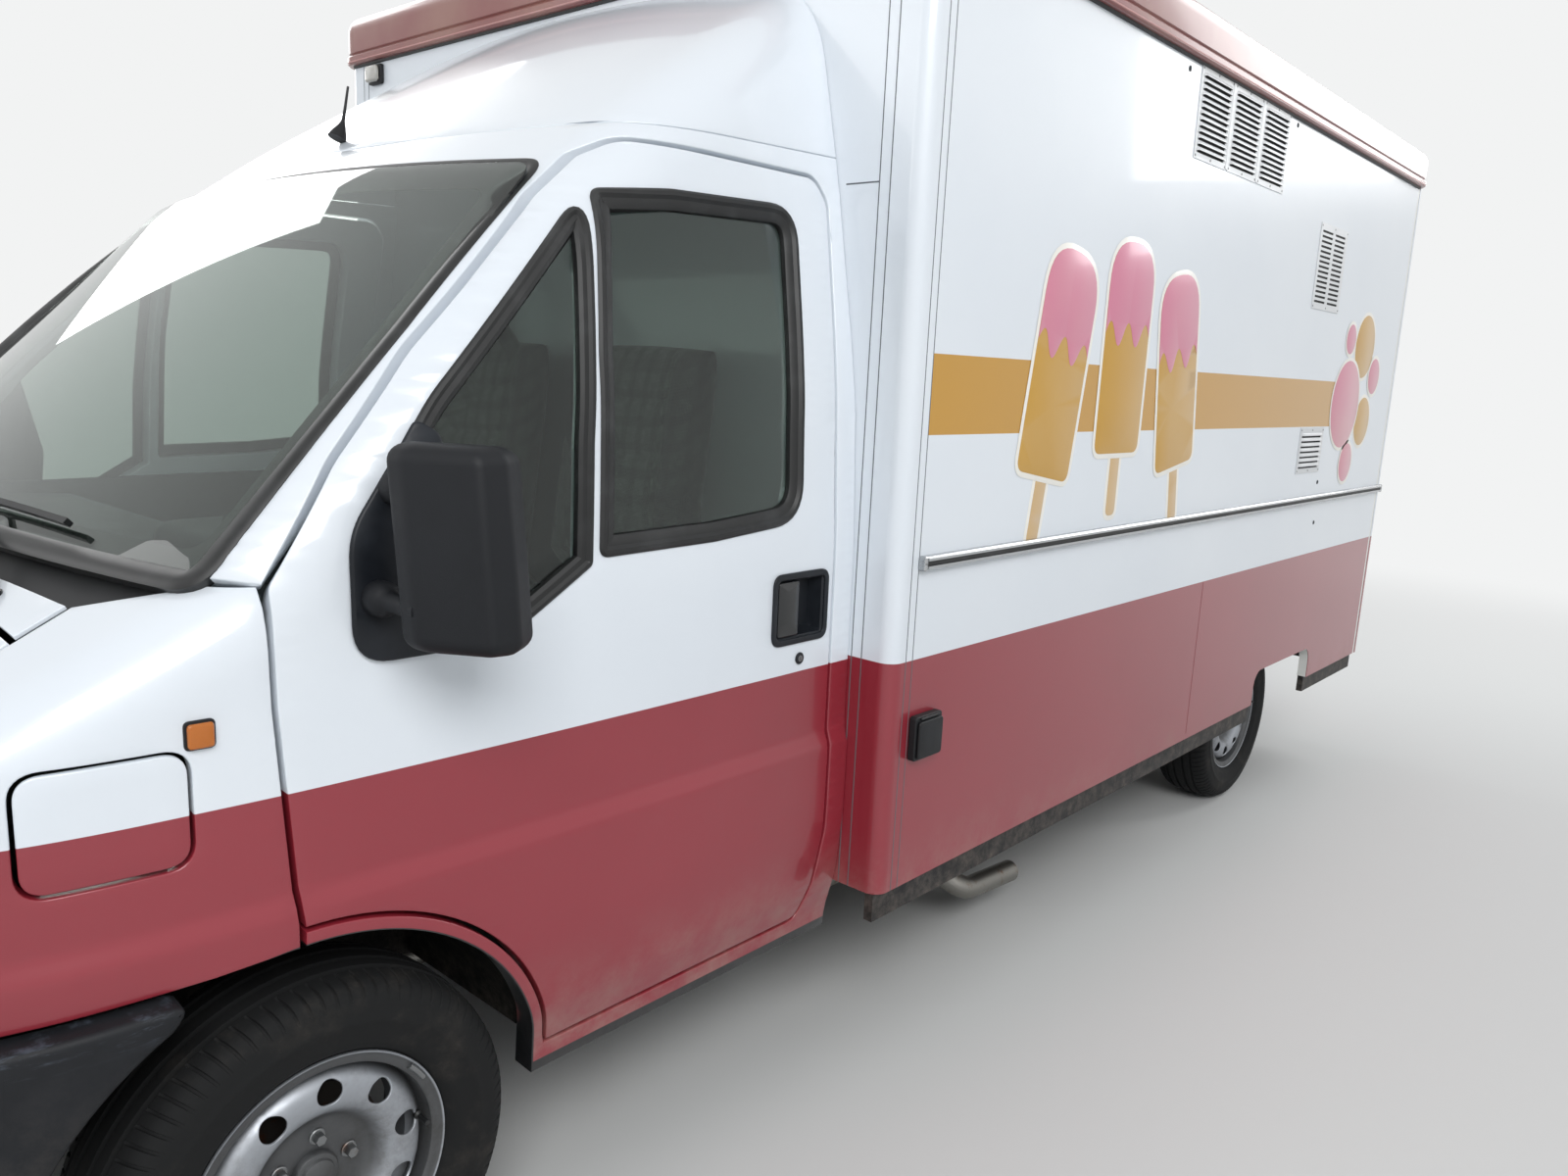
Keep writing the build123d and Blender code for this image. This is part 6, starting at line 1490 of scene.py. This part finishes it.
# Half of the section: place from the middle plane, radius
half_section = np.array([(rim_half - rim_wall, 0.190), (rim_half - rim_wall, flange_radius - 0.002),
                         (0.086, 0.214), (0.0935, 0.222), (0.0955, 0.230), (0.0965, 0.236), (0.1000, 0.248),
                         (0.1015, 0.258), (0.1025, 0.260), (0.1025, 0.266), (0.1015, 0.268), (0.1010, 0.280),
                         (0.0985, 0.292), (0.0950, 0.302), (0.0890, 0.3115), (0.0800, 0.3185), (0.0720, 0.3220)])
tread_half, tread_drop, tread_end = 0.072, 0.008, 0.060
groove_places, tread_groove_half, groove_slope, groove_deep = (0.018, 0.048), 0.0045, 0.001, 0.007
tread = np.array([0.0] + [g + side * (tread_groove_half + slope) for g in groove_places
                          for side, slope in ((-1, groove_slope), (-1, -groove_slope), (1, -groove_slope),
                                              (1, groove_slope))] + [tread_end])
in_groove = np.any([np.abs(tread - g) < tread_groove_half for g in groove_places], axis=0)
tread_radius = tyre_radius - tread_drop * (tread / tread_half)**2.5 - groove_deep * in_groove
section = np.vstack((half_section, np.column_stack((tread, tread_radius))[::-1]))
section = np.vstack((section, (section * (-1, 1))[::-1][1:]))
notches, notch_deep, notch_slant, shoulder_place, shoulder_radius = 90, 0.004, 0.030, 0.058, 0.300
shares, notch_shape = np.array((0.0, 0.05, 0.22, 0.27)), (0, 1, 1, 0)
angles = ((np.arange(notches)[:, None] + shares) * 2 * math.pi / notches).ravel()
place, radius = section[:, :1], section[:, 1:]
shoulder = (np.abs(place) > shoulder_place) & (radius > shoulder_radius)
turned_by = angles[None] + notch_slant * np.sign(place) * np.clip(np.abs(place) - 0.05, 0, 1) / 0.05
radius = radius - notch_deep * shoulder * np.tile(notch_shape, notches)[None]
tyre_points = np.stack((radius * np.cos(turned_by), np.broadcast_to(place, radius.shape), radius * np.sin(turned_by)),
                       axis=-1).reshape(-1, 3)
tyre_faces = grid_faces(len(section), len(angles), True, True)
tyre_finish = tyre_rubber("tyre compound")
wheels = [(f"{end}_{word}", np.array((x, side * wheel_y, tyre_low.z + tyre_radius)), side)
          for end, x in (("front", front_axle_x), ("rear", rear_axle_x))
          for side, word in ((1, "left"), (-1, "right"))]
for name, centre, side in wheels:
    build(f"tyre_tread_{name}", (tyre_points + centre, tyre_faces), tyre_finish, "tyre_rubber", f"wheel_{name}",
          f"tyre_{name}", crease=30)


# Wheels: pressed steel rims in silver paint, scuffed and dusty, with ten vent holes, five bolts, a
# pressed cap over the hub's bore, a rubber valve and a clipped balance weight.
def wheel_paint(name):
    """Silver wheel enamel: fine metal flake, brown brake dust in clouds, bare steel on scuffs. Painted
    shade darkens the dish round the hub and the hollow inside the rim's lip, by distance from the axle."""
    made = material(name, "#A4A8AE", Metallic=0.75)
    tree = made.node_tree
    place = node(tree, "TexCoord", output="Object")
    clouds = node(tree, "TexNoise", {"Vector": place, "Scale": 8.0, "Detail": 9.0, "Roughness": 0.72})
    colour = laid(tree, srgb("#A4A8AE"), srgb("#6A6661"), (clouds, 0.46, 0.88))
    reach = node(tree, "Math", {0: reach_from(tree, place, front_axle_x, tyre_radius),
                                1: reach_from(tree, place, rear_axle_x, tyre_radius)}, operation="MINIMUM")
    # Painted shade: the dish round the hub and the hollow inside the lip are darkened as if in shadow
    for steps in (((reach, 0.116, 0.092),), ((reach, 0.164, 0.180), (reach, 0.2045, 0.2020))):
        colour = laid(tree, colour, srgb("#3B3A38"), *steps, share=0.8)
    scuffs = node(tree, "TexNoise", {"Vector": place, "Scale": 70.0, "Detail": 6.0, "Roughness": 0.8})
    colour = laid(tree, colour, srgb("#3E3A37"), (scuffs, 0.66, 0.74))
    return wired(made, Base_Color=colour,
                 Roughness=node(tree, "MapRange", {0: clouds, 1: 0.35, 2: 0.75, 3: 0.36, 4: 0.75}),
                 Normal=node(tree, "Bump", {"Height": scuffs, "Strength": 0.15, "Distance": 0.0006}))


# Rim's section, radius and place from the middle plane: the outer face, then the tyre's side
rim_face = [(0.2060, 0.0828), (0.2035, 0.0820), (0.2005, 0.0795), (0.1965, 0.0785), (0.1900, 0.0780),
            (0.1862, 0.0755), (0.1846, 0.0700), (0.1838, 0.0500), (0.1810, 0.0420), (0.1640, 0.0300)]
tyre_face = [(0.1680, 0.0270), (0.1845, 0.0400), (0.1872, 0.0600), (0.1886, 0.0715), (0.1930, 0.0738),
             (0.2030, 0.0750), (0.2062, 0.0775), (0.2068, 0.0808)]
rim_section = rim_face + [(r, -y) for r, y in rim_face[::-1]] + [(r, -y) for r, y in tyre_face[::-1]] + tyre_face
# Disc's section: radius and place from the middle plane, smoothed between
disc_radii = (0.0, 0.080, 0.090, 0.098, 0.106, 0.114, 0.126, 0.142, 0.158, 0.168, 0.176, 0.183)
disc_lifts = (0.043, 0.043, 0.045, 0.052, 0.063, 0.071, 0.0755, 0.0765, 0.0735, 0.066, 0.053, 0.040)
disc_edge, disc_wall = 0.182, 0.0045
fine_radii = np.linspace(0, 0.19, 381)
soft = np.hanning(17) / np.hanning(17).sum()
fine_lifts = np.convolve(np.pad(np.interp(fine_radii, disc_radii, disc_lifts), 8, mode="edge"), soft, "valid")


def on_disc(flat, centre, side):
    """The wheel's disc: its lift outwards depends on the distance from the axle."""
    reach = np.hypot(flat[:, 0], flat[:, 1])
    points = centre + np.column_stack((flat[:, 0], side * np.interp(reach, fine_radii, fine_lifts), flat[:, 1]))
    slope = (np.interp(reach + 5e-4, fine_radii, fine_lifts) - np.interp(reach - 5e-4, fine_radii, fine_lifts)) / 1e-3
    away = flat / np.maximum(reach, 1e-9)[:, None]
    normals = np.column_stack((-slope * away[:, 0], np.full(len(flat), side), -slope * away[:, 1]))
    return points, normals / np.linalg.norm(normals, axis=1, keepdims=True)


def round_axle(first, count, reach):
    """Places evenly round an axle, x and z, from an angle in degrees."""
    angle = np.radians(first + 360 / count * np.arange(count))
    return reach * np.column_stack((np.cos(angle), np.zeros(count), np.sin(angle)))


vent_count, vent_radius, vent_reach, first_vent = 10, 0.0205, 0.1445, 24.0
bolt_count, bolt_reach, first_bolt, hub_plane = 5, 0.059, 97.0, 0.043
valve_at, valve_reach, valve_foot = 170.0, 0.168, 0.064
weight_at, weight_spread, weight_reach, weight_lift = math.radians(143), 0.10, flange_radius - 0.010, rim_half - 0.003
disc_loops = [disc(0.0, 0.0, disc_edge, 96)] + [disc(x, z, vent_radius, 28)
                                                for x, _, z in round_axle(first_vent, vent_count, vent_reach)]
rim_finish, cap_finish = wheel_paint("wheel enamel"), wheel_paint("hub cap enamel")
bolt_finish = metal("zinc bolts", "#8B8D8E", 0.4, spots="#6B4A36")
# Turned pieces: radius and place outwards
collar = [(0.013, 0.0), (0.013, 0.003), (0.0115, 0.004)]
hexagon = [(0.0098, 0.003), (0.0098, 0.014), (0.0085, 0.0165), (0.0001, 0.0170)]
cap_profile = [(0.0365, -0.001), (0.0365, 0.008), (0.034, 0.012), (0.028, 0.0135), (0.026, 0.018), (0.018, 0.0215),
               (0.0001, 0.0225)]
valve_profile = [(0.0075, 0.0), (0.0075, 0.006), (0.0045, 0.010), (0.0040, 0.024), (0.0046, 0.025), (0.0046, 0.034),
                 (0.0001, 0.035)]
for name, centre, side in wheels:
    out, body = np.array((0.0, side, 0.0)), f"wheel_{name}"
    plate = skin_panel(disc_loops, lambda flat: on_disc(flat, centre, side), disc_wall, 0.007, 0.0012)
    rim = joined([lathe(rim_section, centre, out, 96, closed=True), plate])
    build(f"wheel_rim_{name}", rim, rim_finish, "wheel_silver", body, f"rim_{name}")
    hub = centre + out * hub_plane
    spots = hub + round_axle(first_bolt, bolt_count, bolt_reach)
    bolts = joined([lathe(profile, spot, out, sides) for profile, sides in ((collar, 20), (hexagon, 6))
                    for spot in spots])
    build(f"wheel_bolts_{name}", bolts, bolt_finish, "bare_steel", body)
    build(f"hub_cap_{name}", lathe(cap_profile, hub, out, 40), cap_finish, "wheel_silver", body)
    foot = centre + round_axle(valve_at, 1, valve_reach)[0] + out * valve_foot
    build(f"valve_{name}", lathe(valve_profile, foot, out, 14), seal_rubber, "black_plastic", body)
    around = weight_at + np.linspace(-weight_spread, weight_spread, 9)
    clip = centre + out * weight_lift + weight_reach * np.column_stack((np.cos(around), np.zeros(9), np.sin(around)))
    build(f"balance_weight_{name}", tube(clip, 0.0055, 10), bolt_finish, "bare_steel", body)


# Running gear: black chassis enamel on the rails, bearers and axle, an underseal on the cab's
# underside, darkened past its own black as painted shade in the wheel arches, rusted cast iron at
# the hubs, an aluminised exhaust and a moulded tank.
chassis_enamel = grained("chassis enamel", "#151617", "#2A2826", grain=0.006, rough=0.6, dust=0.5)
dressed("chassis_rails chassis_bearers front_suspension rear_axle", chassis_enamel)
dressed("leaf_springs", grained("spring steel", "#26241F", "#4E3F32", grain=0.003, rough=0.7, dust=0.5))
# The underseal is darker than its own black: painted shade for the wheel arches
dressed("cab_floor", grained("underseal and painted shade", "#0C0D0D", "#161615", grain=0.008, rough=0.85, dust=0.2, gloss=0.15))
dressed("knuckle_left knuckle_right", metal("cast iron", "#4C4744", 0.62, spots="#5E3C28"))
dressed("engine_block", metal("engine casting", "#6A6A68", 0.55, spots="#4A4036"))
dressed("exhaust", metal("aluminised steel", "#8D8B86", 0.5, spots="#6E4E38"))
dressed("fuel_tank", grained("tank plastic", "#1E1F21", "#37342F", grain=0.002, rough=0.6, dust=0.6))


# Dashboard: one grey grained moulding with a hooded instrument panel and vents. The steering wheel
# is moulded foam on a steel ring, with a padded boss.
dash_grey = grained("dash plastic", "#3B3D41", "#45474B", grain=0.0014, rough=0.6)
dressed("dashboard", dash_grey)
dressed("steering_wheel", grained("wheel foam", "#141517", "#1E1F21", grain=0.0012, rough=0.5))
dash_low, dash_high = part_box("dashboard")
steer_y, hood_tall, hood_round = 0.430, 0.095, 0.022
hood_line = run_through([(-0.19, -0.11, 0.02), (0.16, -0.11, 0.02), (0.13, 0.11, 0.05), (-0.17, 0.11, 0.05)], 0.02)
hood_points, hood_faces = case(hood_line, hood_tall, hood_round)
hood_points = hood_points[:, [1, 0, 2]] + (dash_high.x - 0.215, steer_y, dash_high.z - 0.035)
build("instrument_hood", (hood_points, hood_faces), dash_grey, "dash_plastic", crease=45)
vent_half, bar_pitch, bar_tall, vent_low = 0.055, 0.011, 0.004, dash_high.z - 0.105
vent_bars = [bar((dash_low.x - 0.004, dash_low.x + 0.040), (y - vent_half, y + vent_half),
                 (vent_low + bar_pitch * k, vent_low + bar_pitch * k + bar_tall), 0.001)
             for y in (-0.80, -0.12, 0.10, 0.80) for k in range(5)]
build("dash_vents", joined(vent_bars), black_plastic, "dash_plastic")


# Seats: a driver's seat and a double one, foam cushions and backs under woven cloth, with sewn
# channels and darker sides, on black steel boxes. Their crowns and seams are modelled directly.
def pad(size, seams, channels, crown=0.16, count=(64, 56)):
    """A closed crowned cushion about its middle: its thickness falls to nothing round its edge as
    one less a high power, bulges in the middle, and sinks along seams and channels. Returns the
    points, the faces and marks of the faces between the outer seams."""
    u, v = (np.sin(np.linspace(-math.pi / 2, math.pi / 2, n)) for n in count)
    across, along = np.meshgrid(u, v, indexing="ij")
    full = np.clip((1 - np.abs(across)**8) * (1 - np.abs(along)**8), 0, 1)**0.38
    bulge = full * (1 + crown * (1 - across**2) * (1 - along**2)) / (1 + crown)
    sink = sum(np.exp(-((across - s) / 0.022)**2) for s in seams)
    sink = sink + sum(np.exp(-((along - c) / 0.020)**2) * (np.abs(across) < max(seams)) for c in channels)
    top = bulge * (1 - 0.16 * np.clip(sink, 0, 1))
    pinch = 1 - 0.018 * (across**2 + along**2)
    points = np.vstack([(np.stack((across * pinch, along * pinch, lift), -1) * size / 2).reshape(-1, 3)
                        for lift in (top, -full * 0.86)])
    number = np.arange(count[0] * count[1]).reshape(count)
    lower = number + number.size
    lower[0], lower[-1], lower[:, 0], lower[:, -1] = number[0], number[-1], number[:, 0], number[:, -1]
    faces = grid_faces(*count)
    under = lower.ravel()[np.array(faces)][:, ::-1].tolist()
    middle = np.abs(across[:-1, :-1] + across[1:, 1:]).ravel() / 2 < max(seams)
    return points, faces + under, np.concatenate((middle, np.zeros(len(under), bool)))


def cloth(name, first, second, lines, thread=0.003, check=0.048):
    """Woven seat cloth: crossed threads, drawn 3 mm wide so that they show, a check and a sheen."""
    made = material(name, first, Roughness=0.85, Sheen_Weight=0.4, Sheen_Roughness=0.5)
    tree = made.node_tree
    place = node(tree, "TexCoord", output="Object")
    warp, weft, rise = (node(tree, "TexWave", {"Vector": place, "Scale": 0.314 / thread}, "Fac", bands_direction=axis)
                        for axis in "YXZ")
    weave = node(tree, "Math", {0: warp, 1: weft}, operation="MULTIPLY")
    weave = node(tree, "Math", {0: weave, 1: rise}, operation="ADD")
    fleck = node(tree, "TexNoise", {"Vector": place, "Scale": 60.0, "Detail": 4.0})
    colour = laid(tree, srgb(first), srgb(second), (fleck, 0.4, 0.7))
    for way in ((1.0, 0.0, 1.0), (0.0, 1.0, 0.0)):
        along = node(tree, "VectorMath", {0: place, 1: way}, "Value", operation="DOT_PRODUCT")
        line = node(tree, "CombineXYZ", {0: along})
        stripe = node(tree, "TexWave", {"Vector": line, "Scale": 0.314 / check}, "Fac", bands_direction="X")
        colour = laid(tree, colour, srgb(lines), (stripe, 0.55, 0.80), share=0.45)
    return wired(made, Base_Color=colour, Normal=node(tree, "Bump", {"Height": weave, "Strength": 0.3,
                                                                     "Distance": 0.0008}))


seat_middle = cloth("seat cloth", "#5A625B", "#6E766D", "#262B29")
seat_side = cloth("bolster cloth", "#3C423E", "#4A504B", "#222624")
seat_front_x, seat_rear_x, seat_low, seat_top = 1.480, 1.000, 0.860, 0.990
back_foot, back_head = np.array((0.942, 0.0, 0.955)), np.array((0.846, 0.0, 1.625))
back_length = float(np.linalg.norm(back_head - back_foot))
back_up = (back_head - back_foot) / back_length
back_out = np.cross((0.0, 1.0, 0.0), back_up)
cushion_axes, back_axes = np.eye(3)[[1, 0, 2]], np.array(((0, 1, 0), back_up, back_out))
cushion_middle = np.array(((seat_front_x + seat_rear_x) / 2, 0.0, (seat_low + seat_top) / 2))
cushion_channels, back_channels = (-0.45, 0.0, 0.45), (-0.55, -0.15, 0.25, 0.62)
floor_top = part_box("seats")[0].z
for name, y, width, seams in (("driver", steer_y, 0.470, (-0.62, 0.62)),
                              ("double", -0.330, 0.830, (-0.80, 0.0, 0.80))):
    for title, size, channels, axes, middle in (
            ("cushion", (width, seat_front_x - seat_rear_x, seat_top - seat_low), cushion_channels, cushion_axes,
             cushion_middle),
            ("back", (width * 0.97, back_length, 0.112), back_channels, back_axes, (back_foot + back_head) / 2)):
        points, faces, marks = pad(size, seams, channels)
        stands_for = "seats" if (title, name) == ("cushion", "driver") else None
        soft = build(f"seat_{title}_{name}", (points @ axes + middle + (0, y, 0), faces), seat_side, "seat_cloth",
                     stands_for=stands_for, crease=60)
        soft.data.materials.append(seat_middle)
        soft.data.polygons.foreach_set("material_index", marks.astype(np.int32))
    stand = bar((seat_rear_x + 0.01, seat_front_x - 0.10), (y - width / 2 + 0.06, y + width / 2 - 0.06),
                (floor_top, seat_low + 0.012), 0.012)
    build(f"seat_stand_{name}", stand, chassis_enamel, "chassis_paint")


# Door linings: a grey moulded panel inside each door, with an armrest that stands out from it. They
# are fixed to the door's inner side.
lining_line = run_through([(-1.065, 0.500, 0.05), (-1.075, 1.225, 0.04), (-0.060, 1.215, 0.05), (-0.055, 0.860, 0.05),
                           (-0.160, 0.745, 0.15), (-0.420, 0.560, 0.10), (-0.470, 0.470, 0.05)], 0.03)
armrest_line = round_rect(-0.80, -0.30, 0.985, 1.045, 0.025)
lining = joined([skin_panel([lining_line], side_face(-door_wall - 0.0003), 0.006, 0.04, 0.002),
                 skin_panel([armrest_line], side_face(-door_wall - 0.006), 0.055, 0.04, 0.015)])
pair("door_lining", lining, dash_grey, "dash_plastic", "door_")
